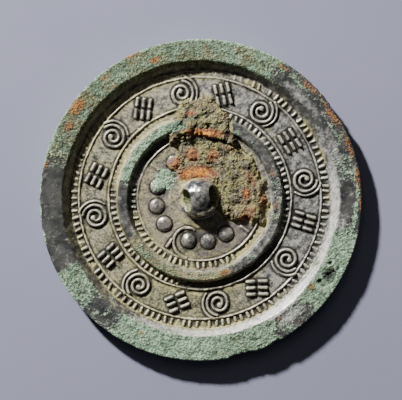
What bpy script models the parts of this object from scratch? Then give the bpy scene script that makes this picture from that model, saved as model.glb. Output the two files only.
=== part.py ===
"""Ancient bronze mirror, one casting, lying with its polished face down and its decorated back up.

Metres, +Z up. The origin is the centre of the round underside. X runs to the right of the back
as a viewer above sees it, and Y runs up it. The back is a dished disc inside a thick plain rim.
From the rim inwards it carries a ring of teeth, a thin line, a wide band of spirals and stroke
marks, a line, teeth, a raised plain ring, teeth, a line, twelve beads round a low seat, and a
domed knob that is pierced for a cord. A crust of earth and corrosion has grown over one side of
the middle, and the edge of the rim is chipped in three places.
"""

import math

import bmesh
import bpy
from mathutils import Matrix, Vector, noise

# The disc and its rim
MIRROR_DIAMETER = 0.080
RIM_THICKNESS = 0.0043
FIELD_THICKNESS = 0.0019
EDGE_BEVEL = 0.00035
RIM_SLOPE = 0.0020
DESIGN_OFFSET = Vector((-0.00015, 0.00042, 0.0))

# The middle: knob, low seat, and beads in groups with a bar between groups
KNOB_RADIUS = 0.0051
KNOB_HEIGHT = 0.0052
KNOB_FULLNESS = 0.9
CORD_HOLE_DIAMETER = 0.0030
CORD_HOLE_FLOOR = 0.0003
CORD_HOLE_RUNOUT = 0.0006
CORD_HOLE_ANGLE = math.radians(9)
SEAT_WIDTH = 0.0026
SEAT_HEIGHT = 0.00025
BEAD_GROUPS = 4
BEADS_IN_GROUP = 3
BEAD_GROUP_ANGLE = math.radians(10.5)
BEAD_SPACING_ANGLE = math.radians(25.5)
BEAD_RADIUS = 0.00185
BEAD_HEIGHT = 0.0010
BEAD_SINK = 0.0001
BEAD_TO_KNOB = 0.0040
BEAD_TO_LINE = 0.0025
BAR_LENGTH = 0.0028
BAR_CLEARANCE = 0.0004

# The rings, from the middle outwards, each measured along the radius
RING_GAP = 0.00012
LINE_WIDTH = 0.0005
LINE_HEIGHT = 0.00045
SEAT_TEETH_LENGTH = 0.0016
RIDGE_SLOPE = 0.0006
RIDGE_TOP_WIDTH = 0.0020
RIDGE_HEIGHT = 0.00145
INNER_TEETH_LENGTH = 0.0014
BAND_WIDTH = 0.0069
OUTER_TEETH_LENGTH = 0.0017

# The teeth, with the gap between them measured round the middle of their ring
TOOTH_WIDTH = 0.0008
TOOTH_HEIGHT = 0.00045
INNER_TOOTH_GAP = 0.00067
OUTER_TOOTH_GAP = 0.00081

# The spirals, each with a tail that sweeps in from the outer line
SPIRAL_COUNT = 8
SPIRAL_FIRST_ANGLE = math.radians(10)
SPIRAL_EYE_RADIUS = 0.00068
SPIRAL_EYE_ANGLE = math.radians(110)
SPIRAL_LINE_WIDTH = 0.0008
SPIRAL_LINE_GAP = 0.0005
SPIRAL_CLEARANCE = 0.0003
SPIRAL_HEIGHT = 0.0005
TAIL_GAP = 0.00095
TAIL_FROM_ANGLE = math.radians(62)
TAIL_TO_ANGLE = math.radians(-40)

# The stroke marks between the spirals
MARK_LENGTH = 0.0024
MARK_WIDTH = 0.00085
MARK_HEIGHT = 0.0005
MARK_END_GAP = 0.0005
MARK_PITCH = 0.00155
MARK_CLEARANCE = 0.00025
MARK_SLANT_STEP = math.radians(65)

# The crust, whose two ends run slantwise across the middle
CRUST_FROM_ANGLES = (math.radians(-42), math.radians(-22))
CRUST_TO_ANGLES = (math.radians(138), math.radians(108))
CRUST_HEIGHTS = (0.0013, 0.0007)
CRUST_TO_RIDGE = 0.0010
CRUST_BUMP = 0.0006
CRUST_WOBBLE = 0.0010
CRUST_GRAIN = 0.0029
CRUST_SEED = 5

# The lump of crust that has spilled over the raised ring
LUMP_FROM_ANGLES = (math.radians(58), math.radians(74))
LUMP_TO_ANGLES = (math.radians(116), math.radians(98))
LUMP_RISE = 0.0003
LUMP_INWARDS = 0.0016
LUMP_OUTWARDS = 0.0040

# Chips out of the edge of the rim: angle, width and depth of each
CHIPS = (
    (math.radians(33), 0.0050, 0.0004),
    (math.radians(285), 0.0070, 0.0006),
    (math.radians(298), 0.0024, 0.0005),
)

# How finely curves are cut, and how deep an added shape is sunk into what carries it
DISC_SEGMENTS = 64
SPIRAL_SEGMENTS_PER_TURN = 10
TAIL_SEGMENTS = 4
BEAD_SEGMENTS = 10
BEAD_RINGS = 6
CHIP_SEGMENTS = 12
CHIP_RINGS = 6
KNOB_SEGMENTS = 24
KNOB_STEPS = 6
HOLE_SEGMENTS = 14
CRUST_STEP = 0.0017
RELIEF_SINK = 0.00015
SINK = 0.0004

# Radii that follow from the sizes above: each ring begins where the one inside it ends
RIM_RADIUS = MIRROR_DIAMETER / 2
BEAD_CIRCLE_RADIUS = KNOB_RADIUS + BEAD_TO_KNOB + BEAD_RADIUS
SEAT_LINE_IN = BEAD_CIRCLE_RADIUS + BEAD_RADIUS + BEAD_TO_LINE
SEAT_LINE_OUT = SEAT_LINE_IN + LINE_WIDTH
SEAT_TEETH_OUT = SEAT_LINE_OUT + RING_GAP + SEAT_TEETH_LENGTH
RIDGE_IN = SEAT_TEETH_OUT + RING_GAP
RIDGE_OUT = RIDGE_IN + RIDGE_TOP_WIDTH + 2 * RIDGE_SLOPE
INNER_TEETH_OUT = RIDGE_OUT + RING_GAP + INNER_TEETH_LENGTH
INNER_LINE_OUT = INNER_TEETH_OUT + RING_GAP + LINE_WIDTH
BAND_MIDDLE = INNER_LINE_OUT + BAND_WIDTH / 2
OUTER_LINE_OUT = INNER_LINE_OUT + BAND_WIDTH + LINE_WIDTH
OUTER_TEETH_OUT = OUTER_LINE_OUT + RING_GAP + OUTER_TEETH_LENGTH
SLOPE_FOOT_RADIUS = OUTER_TEETH_OUT + RING_GAP
RIM_INNER_RADIUS = SLOPE_FOOT_RADIUS + RIM_SLOPE
SPIRAL_RADIUS = BAND_WIDTH / 2 - SPIRAL_CLEARANCE
SPIRAL_TURNS = (SPIRAL_RADIUS - SPIRAL_EYE_RADIUS) / (SPIRAL_LINE_WIDTH + SPIRAL_LINE_GAP)
MARK_REACH = BAND_WIDTH / 2 - MARK_CLEARANCE


def polar(radius, angle, height=0.0):
    """A point of the back, at this radius and angle round the centre of its design."""
    return Vector((radius * math.cos(angle), radius * math.sin(angle), height))


def blend(start, end, share):
    return start + (end - start) * share


def helper_object(name, mesh, collection):
    """A shape that only cuts or joins, set on the design's centre and left out of renders."""
    made = bpy.data.objects.new(name, mesh)
    collection.objects.link(made)
    made.location = DESIGN_OFFSET
    made.hide_render = True
    made.display_type = "WIRE"
    return made


def helper_from(mesh, name, collection):
    """The helper object of an edit mesh, which is freed."""
    bmesh.ops.recalc_face_normals(mesh, faces=mesh.faces)
    data = bpy.data.meshes.new(name)
    mesh.to_mesh(data)
    mesh.free()
    return helper_object(name, data, collection)


def profile_mesh(name, profile):
    """An open line of (radius, height) points that start and end on the axis."""
    mesh = bpy.data.meshes.new(name)
    points = [(radius, 0, height) for radius, height in profile]
    mesh.from_pydata(points, [(i, i + 1) for i in range(len(points) - 1)], [])
    return mesh


def turn(made, segments):
    """Turns an object's profile once round Z."""
    screw = made.modifiers.new("turn", "SCREW")
    screw.axis = "Z"
    screw.steps = segments
    screw.render_steps = segments
    screw.use_merge_vertices = True
    screw.merge_threshold = 0.00001
    screw.use_smooth_shade = False


def disc(collection):
    """The plain disc at full rim thickness, with its edges taken off."""
    profile = [
        (0, RIM_THICKNESS),
        (RIM_RADIUS - EDGE_BEVEL, RIM_THICKNESS),
        (RIM_RADIUS, RIM_THICKNESS - EDGE_BEVEL),
        (RIM_RADIUS, EDGE_BEVEL),
        (RIM_RADIUS - EDGE_BEVEL, 0),
        (0, 0),
    ]
    made = bpy.data.objects.new("bronze_mirror", profile_mesh("bronze_mirror", profile))
    collection.objects.link(made)
    turn(made, DISC_SEGMENTS)
    return made


def ring_line(outer_radius):
    """Profile points of a thin raised line, from its outer foot to its inner foot."""
    return [
        (outer_radius, FIELD_THICKNESS),
        (outer_radius - LINE_WIDTH / 2, FIELD_THICKNESS + LINE_HEIGHT),
        (outer_radius - LINE_WIDTH, FIELD_THICKNESS),
    ]


def recess(collection):
    """What is taken out of the disc: the dished back, down to its rings, lines and seat."""
    slope = RIM_SLOPE / (RIM_THICKNESS - FIELD_THICKNESS)
    above = RIM_THICKNESS + SINK
    ridge_top = FIELD_THICKNESS + RIDGE_HEIGHT
    seat_top = FIELD_THICKNESS + SEAT_HEIGHT
    seat_radius = KNOB_RADIUS + SEAT_WIDTH
    profile = [(0, above), (RIM_INNER_RADIUS + slope * SINK, above), (SLOPE_FOOT_RADIUS, FIELD_THICKNESS)]
    profile += ring_line(OUTER_LINE_OUT)
    profile += ring_line(INNER_LINE_OUT)
    profile += [
        (RIDGE_OUT, FIELD_THICKNESS),
        (RIDGE_OUT - RIDGE_SLOPE, ridge_top),
        (RIDGE_IN + RIDGE_SLOPE, ridge_top),
        (RIDGE_IN, FIELD_THICKNESS),
    ]
    profile += ring_line(SEAT_LINE_OUT)
    profile += [(seat_radius, FIELD_THICKNESS), (seat_radius - SEAT_HEIGHT, seat_top), (0, seat_top)]
    made = helper_object("recess", profile_mesh("recess", profile), collection)
    turn(made, DISC_SEGMENTS)
    return made


def add_ridge(mesh, path, width, height):
    """Adds a raised line with a sharp crest along path, sunk into the field, with ends that slope down."""
    foot = FIELD_THICKNESS - RELIEF_SINK
    crest = FIELD_THICKNESS + height
    spread = width / 2 * (height + RELIEF_SINK) / height
    last = len(path) - 1
    lefts, rights, crests = [], [], []
    for i, point in enumerate(path):
        along = (path[min(i + 1, last)] - path[max(i - 1, 0)]).normalized()
        side = Vector((-along.y, along.x, 0)) * spread
        inset = width / 2 if i == 0 else -width / 2 if i == last else 0
        lefts.append(mesh.verts.new((*(point + side).xy, foot)))
        rights.append(mesh.verts.new((*(point - side).xy, foot)))
        crests.append(mesh.verts.new((*(point + along * inset).xy, crest)))
    for i in range(last):
        mesh.faces.new((lefts[i], crests[i], crests[i + 1], lefts[i + 1]))
        mesh.faces.new((crests[i], rights[i], rights[i + 1], crests[i + 1]))
        mesh.faces.new((rights[i], lefts[i], lefts[i + 1], rights[i + 1]))
    mesh.faces.new((rights[0], crests[0], lefts[0]))
    mesh.faces.new((lefts[last], crests[last], rights[last]))


def teeth(name, outer_radius, length, gap, collection):
    """A ring of short raised strokes that point at the centre."""
    mesh = bmesh.new()
    count = round(math.tau * (outer_radius - length / 2) / (TOOTH_WIDTH + gap))
    for i in range(count):
        angle = math.tau * i / count
        ends = [polar(outer_radius - length, angle), polar(outer_radius, angle)]
        add_ridge(mesh, ends, TOOTH_WIDTH, TOOTH_HEIGHT)
    return helper_from(mesh, name, collection)


def on_band(angle, sideways, outwards):
    """A point of the band, measured clockwise and outwards from its middle line at this angle."""
    out = polar(1, angle)
    return out * (BAND_MIDDLE + outwards) + Vector((out.y, -out.x, 0)) * sideways


def arc(angle, turn_from, turn_to, radius_from, radius_to, steps):
    """Points on the band along a stretch of a spiral round its middle line at this angle."""
    points = []
    for i in range(steps + 1):
        bearing = blend(turn_from, turn_to, i / steps)
        radius = blend(radius_from, radius_to, i / steps)
        points.append(on_band(angle, radius * math.cos(bearing), radius * math.sin(bearing)))
    return points


def spirals(collection):
    """The coiled lines of the band."""
    mesh = bmesh.new()
    steps = round(SPIRAL_TURNS * SPIRAL_SEGMENTS_PER_TURN)
    for i in range(SPIRAL_COUNT):
        angle = SPIRAL_FIRST_ANGLE + math.tau * i / SPIRAL_COUNT
        last_turn = SPIRAL_EYE_ANGLE + SPIRAL_TURNS * math.tau
        coil = arc(angle, SPIRAL_EYE_ANGLE, last_turn, SPIRAL_EYE_RADIUS, SPIRAL_RADIUS, steps)
        add_ridge(mesh, coil, SPIRAL_LINE_WIDTH, SPIRAL_HEIGHT)
    return helper_from(mesh, "spirals", collection)


def tails(collection):
    """The arcs that sweep round the clockwise side of each spiral."""
    mesh = bmesh.new()
    radius = SPIRAL_RADIUS + TAIL_GAP
    for i in range(SPIRAL_COUNT):
        angle = SPIRAL_FIRST_ANGLE + math.tau * i / SPIRAL_COUNT
        sweep = arc(angle, TAIL_FROM_ANGLE, TAIL_TO_ANGLE, radius, radius, TAIL_SEGMENTS)
        add_ridge(mesh, sweep, SPIRAL_LINE_WIDTH, SPIRAL_HEIGHT)
    return helper_from(mesh, "tails", collection)


def marks(collection):
    """Rows of parallel strokes between the spirals, where the original carries its inscription."""
    mesh = bmesh.new()
    row_offset = (MARK_LENGTH + MARK_END_GAP) / 2
    across = math.floor(MARK_REACH / MARK_PITCH)
    for i in range(SPIRAL_COUNT):
        angle = SPIRAL_FIRST_ANGLE + math.tau * (i + 0.5) / SPIRAL_COUNT
        slant = MARK_SLANT_STEP * i
        for row in (-row_offset, row_offset):
            for place in range(-across, across + 1):
                stroke = [(row + end * MARK_LENGTH / 2, place * MARK_PITCH) for end in (-1, 1)]
                if max(math.hypot(*point) for point in stroke) > MARK_REACH:
                    continue
                turned = [Vector(point) @ Matrix.Rotation(slant, 2) for point in stroke]
                add_ridge(mesh, [on_band(angle, *point) for point in turned], MARK_WIDTH, MARK_HEIGHT)
    return helper_from(mesh, "marks", collection)


def bead_angle(group, place):
    """The angle of a bead, with place counted from the middle of its group."""
    return BEAD_GROUP_ANGLE + math.tau * group / BEAD_GROUPS + place * BEAD_SPACING_ANGLE


def beads(collection):
    """Low domes round the knob."""
    mesh = bmesh.new()
    dome = Matrix.Diagonal((BEAD_RADIUS, BEAD_RADIUS, BEAD_HEIGHT + BEAD_SINK, 1))
    for group in range(BEAD_GROUPS):
        for i in range(BEADS_IN_GROUP):
            angle = bead_angle(group, i - (BEADS_IN_GROUP - 1) / 2)
            centre = polar(BEAD_CIRCLE_RADIUS, angle, FIELD_THICKNESS - BEAD_SINK)
            place = Matrix.Translation(centre) @ Matrix.Rotation(angle, 4, "Z") @ dome
            bmesh.ops.create_uvsphere(
                mesh, u_segments=BEAD_SEGMENTS, v_segments=BEAD_RINGS, radius=1, matrix=place
            )
    return helper_from(mesh, "beads", collection)


def bars(collection):
    """A short radial bar in each gap between groups of beads, out to the line."""
    mesh = bmesh.new()
    outer = SEAT_LINE_IN - BAR_CLEARANCE
    for group in range(BEAD_GROUPS):
        angle = bead_angle(group, 0) + math.pi / BEAD_GROUPS
        ends = [polar(outer - BAR_LENGTH, angle), polar(outer, angle)]
        add_ridge(mesh, ends, SPIRAL_LINE_WIDTH, SPIRAL_HEIGHT)
    return helper_from(mesh, "bars", collection)


def knob(collection):
    """The domed knob, with a flattened top and steep sides."""
    foot = FIELD_THICKNESS - SINK
    middle = FIELD_THICKNESS + SEAT_HEIGHT
    rise = KNOB_HEIGHT - SEAT_HEIGHT
    profile = [(0, middle + rise)]
    for i in range(1, KNOB_STEPS + 1):
        bearing = math.pi / 2 * i / KNOB_STEPS
        radius = KNOB_RADIUS * math.sin(bearing) ** KNOB_FULLNESS
        profile.append((radius, middle + rise * math.cos(bearing)))
    profile += [(KNOB_RADIUS, foot), (0, foot)]
    made = helper_object("knob", profile_mesh("knob", profile), collection)
    turn(made, KNOB_SEGMENTS)
    return made


def cord_hole(collection):
    """The hole through the knob for a cord, lying along the back."""
    radius = CORD_HOLE_DIAMETER / 2
    mesh = bmesh.new()
    bmesh.ops.create_cone(
        mesh,
        cap_ends=True,
        segments=HOLE_SEGMENTS,
        radius1=radius,
        radius2=radius,
        depth=2 * (KNOB_RADIUS + CORD_HOLE_RUNOUT),
        matrix=Matrix.Rotation(math.pi / 2, 4, "Y"),
    )
    made = helper_from(mesh, "cord_hole", collection)
    made.location.z = FIELD_THICKNESS + SEAT_HEIGHT + CORD_HOLE_FLOOR + radius
    made.rotation_euler.z = CORD_HOLE_ANGLE
    return made


def mound(name, inner, outer, from_angles, to_angles, height_at, collection):
    """A rough closed mound between two radii and two slanting ends, sunk into what carries it."""
    mesh = bmesh.new()
    rows = max(3, round((outer - inner) / CRUST_STEP))
    middle = (inner + outer) / 2
    columns = max(4, round((to_angles[0] - from_angles[0]) * middle / CRUST_STEP))
    tops, feet = [], []
    for row in range(rows + 1):
        out = row / rows
        first, last = blend(*from_angles, out), blend(*to_angles, out)
        for column in range(columns + 1):
            side = column / columns
            place = polar(blend(inner, outer, out), blend(first, last, side))
            wobble = noise.noise_vector(place / CRUST_GRAIN)
            place += CRUST_WOBBLE * Vector((wobble.x, wobble.y, 0))
            at_edge = row in (0, rows) or column in (0, columns)
            bump = CRUST_BUMP * wobble.z
            top = FIELD_THICKNESS if at_edge else height_at(place.length, side) + bump
            tops.append(mesh.verts.new((place.x, place.y, top)))
            feet.append(mesh.verts.new((place.x, place.y, FIELD_THICKNESS - SINK)))
    stride = columns + 1
    for row in range(rows):
        for column in range(columns):
            near = row * stride + column
            corners = (near, near + 1, near + 1 + stride, near + stride)
            mesh.faces.new([tops[i] for i in corners])
            mesh.faces.new([feet[i] for i in reversed(corners)])
    border = [column for column in range(columns)]
    border += [row * stride + columns for row in range(rows)]
    border += [rows * stride + column for column in range(columns, 0, -1)]
    border += [row * stride for row in range(rows, 0, -1)]
    for near, far in zip(border, border[1:] + border[:1]):
        mesh.faces.new((tops[near], tops[far], feet[far], feet[near]))
    return helper_from(mesh, name, collection)


def crust(collection):
    """The crust beside the knob, thickest at its first end."""

    def height_at(radius, side):
        return FIELD_THICKNESS + blend(*CRUST_HEIGHTS, side)

    ends = (CRUST_FROM_ANGLES, CRUST_TO_ANGLES)
    return mound("crust", KNOB_RADIUS - SINK, RIDGE_IN - CRUST_TO_RIDGE, *ends, height_at, collection)


def lump(collection):
    """The lump over the raised ring, highest on the ring and thin towards the band."""
    inner = RIDGE_IN - LUMP_INWARDS
    outer = RIDGE_OUT + LUMP_OUTWARDS
    crest = FIELD_THICKNESS + RIDGE_HEIGHT + LUMP_RISE

    def height_at(radius, side):
        beyond = max(0, radius - RIDGE_OUT) / LUMP_OUTWARDS
        return blend(crest, FIELD_THICKNESS + SPIRAL_HEIGHT, beyond)

    return mound("lump", inner, outer, LUMP_FROM_ANGLES, LUMP_TO_ANGLES, height_at, collection)


def chips(collection):
    """The hollows of the chips in the edge of the rim."""
    mesh = bmesh.new()
    for angle, width, depth in CHIPS:
        centre = polar(RIM_RADIUS, angle, RIM_THICKNESS)
        hollow = Matrix.Diagonal((depth, width / 2, RIM_THICKNESS, 1))
        place = Matrix.Translation(centre) @ Matrix.Rotation(angle, 4, "Z") @ hollow
        bmesh.ops.create_uvsphere(
            mesh, u_segments=CHIP_SEGMENTS, v_segments=CHIP_RINGS, radius=1, matrix=place
        )
    made = helper_from(mesh, "chips", collection)
    made.location = (0, 0, 0)
    return made


def boolean(target, other, operation):
    cut = target.modifiers.new(other.name, "BOOLEAN")
    cut.object = other
    cut.operation = operation
    cut.solver = "EXACT"


def bronze():
    """Old bronze under grey-green patina."""
    made = bpy.data.materials.new("patinated_bronze")
    made.use_nodes = True
    shader = made.node_tree.nodes["Principled BSDF"]
    shader.inputs["Base Color"].default_value = (0.13, 0.15, 0.12, 1)
    shader.inputs["Roughness"].default_value = 0.6
    shader.inputs["Metallic"].default_value = 0.4
    return made


def main():
    for old in list(bpy.data.objects):
        bpy.data.objects.remove(old, do_unlink=True)
    parts = bpy.data.collections.new("ancient_bronze_mirror")
    helpers = bpy.data.collections.new("helpers")
    for collection in (parts, helpers):
        bpy.context.scene.collection.children.link(collection)
    noise.seed_set(CRUST_SEED)
    mirror = disc(parts)
    boolean(mirror, recess(helpers), "DIFFERENCE")
    boolean(mirror, chips(helpers), "DIFFERENCE")
    boolean(mirror, crust(helpers), "UNION")
    boolean(mirror, lump(helpers), "UNION")
    boolean(mirror, knob(helpers), "UNION")
    boolean(mirror, cord_hole(helpers), "DIFFERENCE")
    boolean(mirror, beads(helpers), "UNION")
    boolean(mirror, bars(helpers), "UNION")
    boolean(mirror, spirals(helpers), "UNION")
    boolean(mirror, tails(helpers), "UNION")
    boolean(mirror, marks(helpers), "UNION")
    rings = {
        "outer_teeth": (OUTER_TEETH_OUT, OUTER_TEETH_LENGTH, OUTER_TOOTH_GAP),
        "inner_teeth": (INNER_TEETH_OUT, INNER_TEETH_LENGTH, INNER_TOOTH_GAP),
        "seat_teeth": (SEAT_TEETH_OUT, SEAT_TEETH_LENGTH, INNER_TOOTH_GAP),
    }
    for name, sizes in rings.items():
        boolean(mirror, teeth(name, *sizes, helpers), "UNION")
    mirror.data.materials.append(bronze())


main()
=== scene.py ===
# %% [markdown]
# # Dressing an ancient bronze mirror
#
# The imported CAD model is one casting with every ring, bead and spiral in its place. Its crests are
# sharp and its faces flat, as a solid's are. Here it gets the rounded, worn and corroded surface of
# a real casting that has lain in the ground for two thousand years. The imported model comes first,
# because every piece below takes its place and its greatest size from it.

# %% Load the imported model
import math

import bpy
import numpy as np
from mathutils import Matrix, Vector


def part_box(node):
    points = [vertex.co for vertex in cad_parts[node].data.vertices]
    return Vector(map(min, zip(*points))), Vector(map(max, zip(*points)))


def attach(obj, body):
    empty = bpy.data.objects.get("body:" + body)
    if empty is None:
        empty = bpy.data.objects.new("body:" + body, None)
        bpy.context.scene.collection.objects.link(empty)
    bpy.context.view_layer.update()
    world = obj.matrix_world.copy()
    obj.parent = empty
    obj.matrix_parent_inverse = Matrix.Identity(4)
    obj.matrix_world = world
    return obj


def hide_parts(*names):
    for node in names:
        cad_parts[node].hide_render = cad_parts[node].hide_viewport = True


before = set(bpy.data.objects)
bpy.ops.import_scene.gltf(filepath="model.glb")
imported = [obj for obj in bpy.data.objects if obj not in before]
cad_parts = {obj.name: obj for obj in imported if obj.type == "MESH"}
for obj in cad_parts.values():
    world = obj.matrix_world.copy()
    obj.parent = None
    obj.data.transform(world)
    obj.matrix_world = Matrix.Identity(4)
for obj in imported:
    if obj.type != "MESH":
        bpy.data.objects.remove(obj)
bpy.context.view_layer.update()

MM = 0.001

# %% [markdown]
# ## The camera
#
# The photograph looks straight down on the mirror, and its rim is a true circle. A camera that
# hangs above it without any rotation gives that view, with the top of the picture along Y. A long
# lens from half a metre up keeps the tall knob from leaning outwards. The lens follows from the
# mirror's real diameter and the pixels that it fills, so no number has to be found by trial.

# %% Camera
PHOTO_SIZE = (402, 400)
MIRROR_IN_PHOTO = 323
MIRROR_CENTRE_IN_PHOTO = (200.7, 199.9)
RIM_THICKNESS = 4.3
CAMERA_ABOVE_RIM = 0.45
SENSOR_WIDTH = 36

box_low, box_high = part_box("bronze_mirror")
metres_per_pixel = (box_high.x - box_low.x) / MIRROR_IN_PHOTO

camera_data = bpy.data.cameras.new("camera")
camera_data.sensor_width = SENSOR_WIDTH
camera_data.lens = SENSOR_WIDTH * CAMERA_ABOVE_RIM / (PHOTO_SIZE[0] * metres_per_pixel)
camera = bpy.data.objects.new("camera", camera_data)
camera.location = (
    (PHOTO_SIZE[0] / 2 - MIRROR_CENTRE_IN_PHOTO[0]) * metres_per_pixel,
    (MIRROR_CENTRE_IN_PHOTO[1] - PHOTO_SIZE[1] / 2) * metres_per_pixel,
    RIM_THICKNESS * MM + CAMERA_ABOVE_RIM,
)
bpy.context.scene.collection.objects.link(camera)
bpy.context.scene.camera = camera
print("Lens:", round(camera_data.lens, 1), "mm")

# %% [markdown]
# ## The light
#
# Low relief only shows in light that comes from one side. In the photograph every raised line is
# pale towards the upper left and throws a short dark shadow to the lower right, so one lamp does
# nearly all the work from there, a third of the way up the sky. A disc lamp gives shadows whose
# edges soften with distance, as a studio lamp does. A wide weak one above fills them a little.

# %% Lamps and the air's own light
KEY_BEARING, KEY_ELEVATION = math.radians(127), math.radians(28)
KEY_DISTANCE, KEY_SIZE, KEY_POWER = 0.9, 0.07, 23.0
FILL_BEARING, FILL_ELEVATION = math.radians(95), math.radians(58)
FILL_DISTANCE, FILL_SIZE, FILL_POWER = 0.9, 0.6, 0.35
AIR_LIGHT = (0.80, 0.84, 0.92)
AIR_STRENGTH = 0.03


def lamp(name, bearing, elevation, distance, size, power):
    """A round area lamp that looks at the mirror from this bearing and height."""
    data = bpy.data.lights.new(name, "AREA")
    data.shape = "DISK"
    data.size = size
    data.energy = power
    made = bpy.data.objects.new(name, data)
    level = math.cos(elevation)
    towards = Vector((level * math.cos(bearing), level * math.sin(bearing), math.sin(elevation)))
    made.location = towards * distance
    made.rotation_euler = towards.to_track_quat("Z", "Y").to_euler()
    bpy.context.scene.collection.objects.link(made)


lamp("key_lamp", KEY_BEARING, KEY_ELEVATION, KEY_DISTANCE, KEY_SIZE, KEY_POWER)
lamp("fill_lamp", FILL_BEARING, FILL_ELEVATION, FILL_DISTANCE, FILL_SIZE, FILL_POWER)

air = bpy.data.worlds.new("air")
air.use_nodes = True
air.node_tree.nodes["Background"].inputs["Color"].default_value = (*AIR_LIGHT, 1)
air.node_tree.nodes["Background"].inputs["Strength"].default_value = AIR_STRENGTH
bpy.context.scene.world = air
print("Lamps:", [light.name for light in bpy.data.lights])

# %% [markdown]
# ## The sizes
#
# These are the CAD model's own sizes in millimetres, so the dressed casting fills the same box and
# its rings lie where the solid's rings lie. Each ring begins where the one inside it ends. Only the
# raised ring has steeper sides here, in the same width, because rounding softens them again.

# %% Sizes of the casting, in millimetres
MIRROR_RADIUS = (box_high.x - box_low.x) / 2 / MM
FIELD_THICKNESS = 1.9
EDGE_BEVEL = 0.35
RIM_SLOPE = 2.0
DESIGN_OFFSET = (-0.15, 0.42)

KNOB_RADIUS, KNOB_HEIGHT, KNOB_SLIMNESS = 5.1, 5.2, 0.9
SEAT_WIDTH, SEAT_HEIGHT = 2.6, 0.25
BEAD_ANGLES = [math.radians(10.5 + 90 * group + 25.5 * place) for group in range(4) for place in (-1, 0, 1)]
BEAD_RADIUS, BEAD_HEIGHT, BEAD_SLIMNESS = 1.85, 1.0, 1.25
BEAD_TO_KNOB, BEAD_TO_LINE = 4.0, 2.5
BAR_ANGLES = [math.radians(55.5 + 90 * group) for group in range(4)]
BAR_LENGTH, BAR_CLEARANCE = 2.8, 0.4

RING_GAP = 0.12
LINE_WIDTH, LINE_HEIGHT = 0.5, 0.45
RIDGE_SLOPE, RIDGE_TOP_WIDTH, RIDGE_HEIGHT = 0.42, 2.36, 1.45
BAND_WIDTH = 6.9
SEAT_TEETH_LENGTH, INNER_TEETH_LENGTH, OUTER_TEETH_LENGTH = 1.6, 1.4, 1.7
TOOTH_WIDTH, TOOTH_HEIGHT = 0.80, 0.45
INNER_TOOTH_GAP, OUTER_TOOTH_GAP = 0.67, 0.81

bead_circle = KNOB_RADIUS + BEAD_TO_KNOB + BEAD_RADIUS
seat_line_out = bead_circle + BEAD_RADIUS + BEAD_TO_LINE + LINE_WIDTH
seat_teeth_out = seat_line_out + RING_GAP + SEAT_TEETH_LENGTH
ridge_in = seat_teeth_out + RING_GAP
ridge_out = ridge_in + RIDGE_TOP_WIDTH + 2 * RIDGE_SLOPE
inner_teeth_out = ridge_out + RING_GAP + INNER_TEETH_LENGTH
inner_line_out = inner_teeth_out + RING_GAP + LINE_WIDTH
band_middle = inner_line_out + BAND_WIDTH / 2
outer_line_out = inner_line_out + BAND_WIDTH + LINE_WIDTH
outer_teeth_out = outer_line_out + RING_GAP + OUTER_TEETH_LENGTH
slope_foot = outer_teeth_out + RING_GAP
rim_inner = slope_foot + RIM_SLOPE
print("The plain rim begins", round(rim_inner, 2), "mm from the middle, of", round(MIRROR_RADIUS, 2))

# %% [markdown]
# ## Noise
#
# Corrosion has no pattern, yet it must come out the same each time the script runs. Gradient noise
# does that: every corner of a square lattice gets a fixed direction from a seeded table, and the
# points between are blended smoothly. Grains are another kind. There each lattice cell holds one
# seed point, and the distance to the nearest seed gives rounded crumbs with sharp creases between.
# Layers of noise of several sizes add up to a surface that is uneven at every scale.
# All of them work on whole numpy arrays, which is hundreds of times faster than a loop over vertices.

# %% Two kinds of seeded noise
TABLE_SIZE = 256


def shuffled(seed):
    return np.random.default_rng(seed).permutation(TABLE_SIZE)


def cell_number(table, column, row):
    """A fixed random number from 0 to 255 for each cell of the lattice."""
    return table[(table[column % TABLE_SIZE] + row) % TABLE_SIZE]


def smooth_noise(x, y, size, seed):
    """Soft bumps about size millimetres across, from about -1 to 1."""
    table = shuffled(seed)
    x, y = x / size, y / size
    column, row = np.floor(x).astype(int), np.floor(y).astype(int)
    x, y = x - column, y - row
    across, up = x * x * (3 - 2 * x), y * y * (3 - 2 * y)

    def corner(right, above):
        turn = cell_number(table, column + right, row + above) * (math.tau / TABLE_SIZE)
        return np.cos(turn) * (x - right) + np.sin(turn) * (y - above)

    lower = corner(0, 0) + across * (corner(1, 0) - corner(0, 0))
    upper = corner(0, 1) + across * (corner(1, 1) - corner(0, 1))
    return 1.6 * (lower + up * (upper - lower))


def layered(x, y, *layers):
    """Noise of several sizes in one, each layer given by its size, height and seed."""
    return sum(height * smooth_noise(x, y, size, seed) for size, height, seed in layers)


def grains(x, y, size, seed):
    """Rounded crumbs about size millimetres across, 1 on top of each and about 0 between them."""
    table, other = shuffled(seed), shuffled(seed + 1)
    x, y = x / size, y / size
    column, row = np.floor(x).astype(int), np.floor(y).astype(int)
    nearest = np.full(x.shape, 4.0)
    for right in (-1, 0, 1):
        for above in (-1, 0, 1):
            seed_x = column + right + cell_number(table, column + right, row + above) / TABLE_SIZE
            seed_y = row + above + cell_number(other, column + right, row + above) / TABLE_SIZE
            nearest = np.minimum(nearest, (x - seed_x) ** 2 + (y - seed_y) ** 2)
    return 1 - np.sqrt(nearest)


probe = np.linspace(0, 50, 2001)
probe_noise = smooth_noise(probe, probe, 1, 5)
print("Noise runs from", probe_noise.min().round(2), "to", probe_noise.max().round(2))

# %% [markdown]
# ## Where the green lies
#
# Malachite lies on the mirror in patches that keep to its rings: most of it on the high rim, and
# some on the raised ring. So it is noted down in the same way: how green the rim is, going
# round it, and then single spots by angle, radius and size. Both the mesh and its colours use
# these notes, so a patch that looks granular is also rough to the touch.

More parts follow.
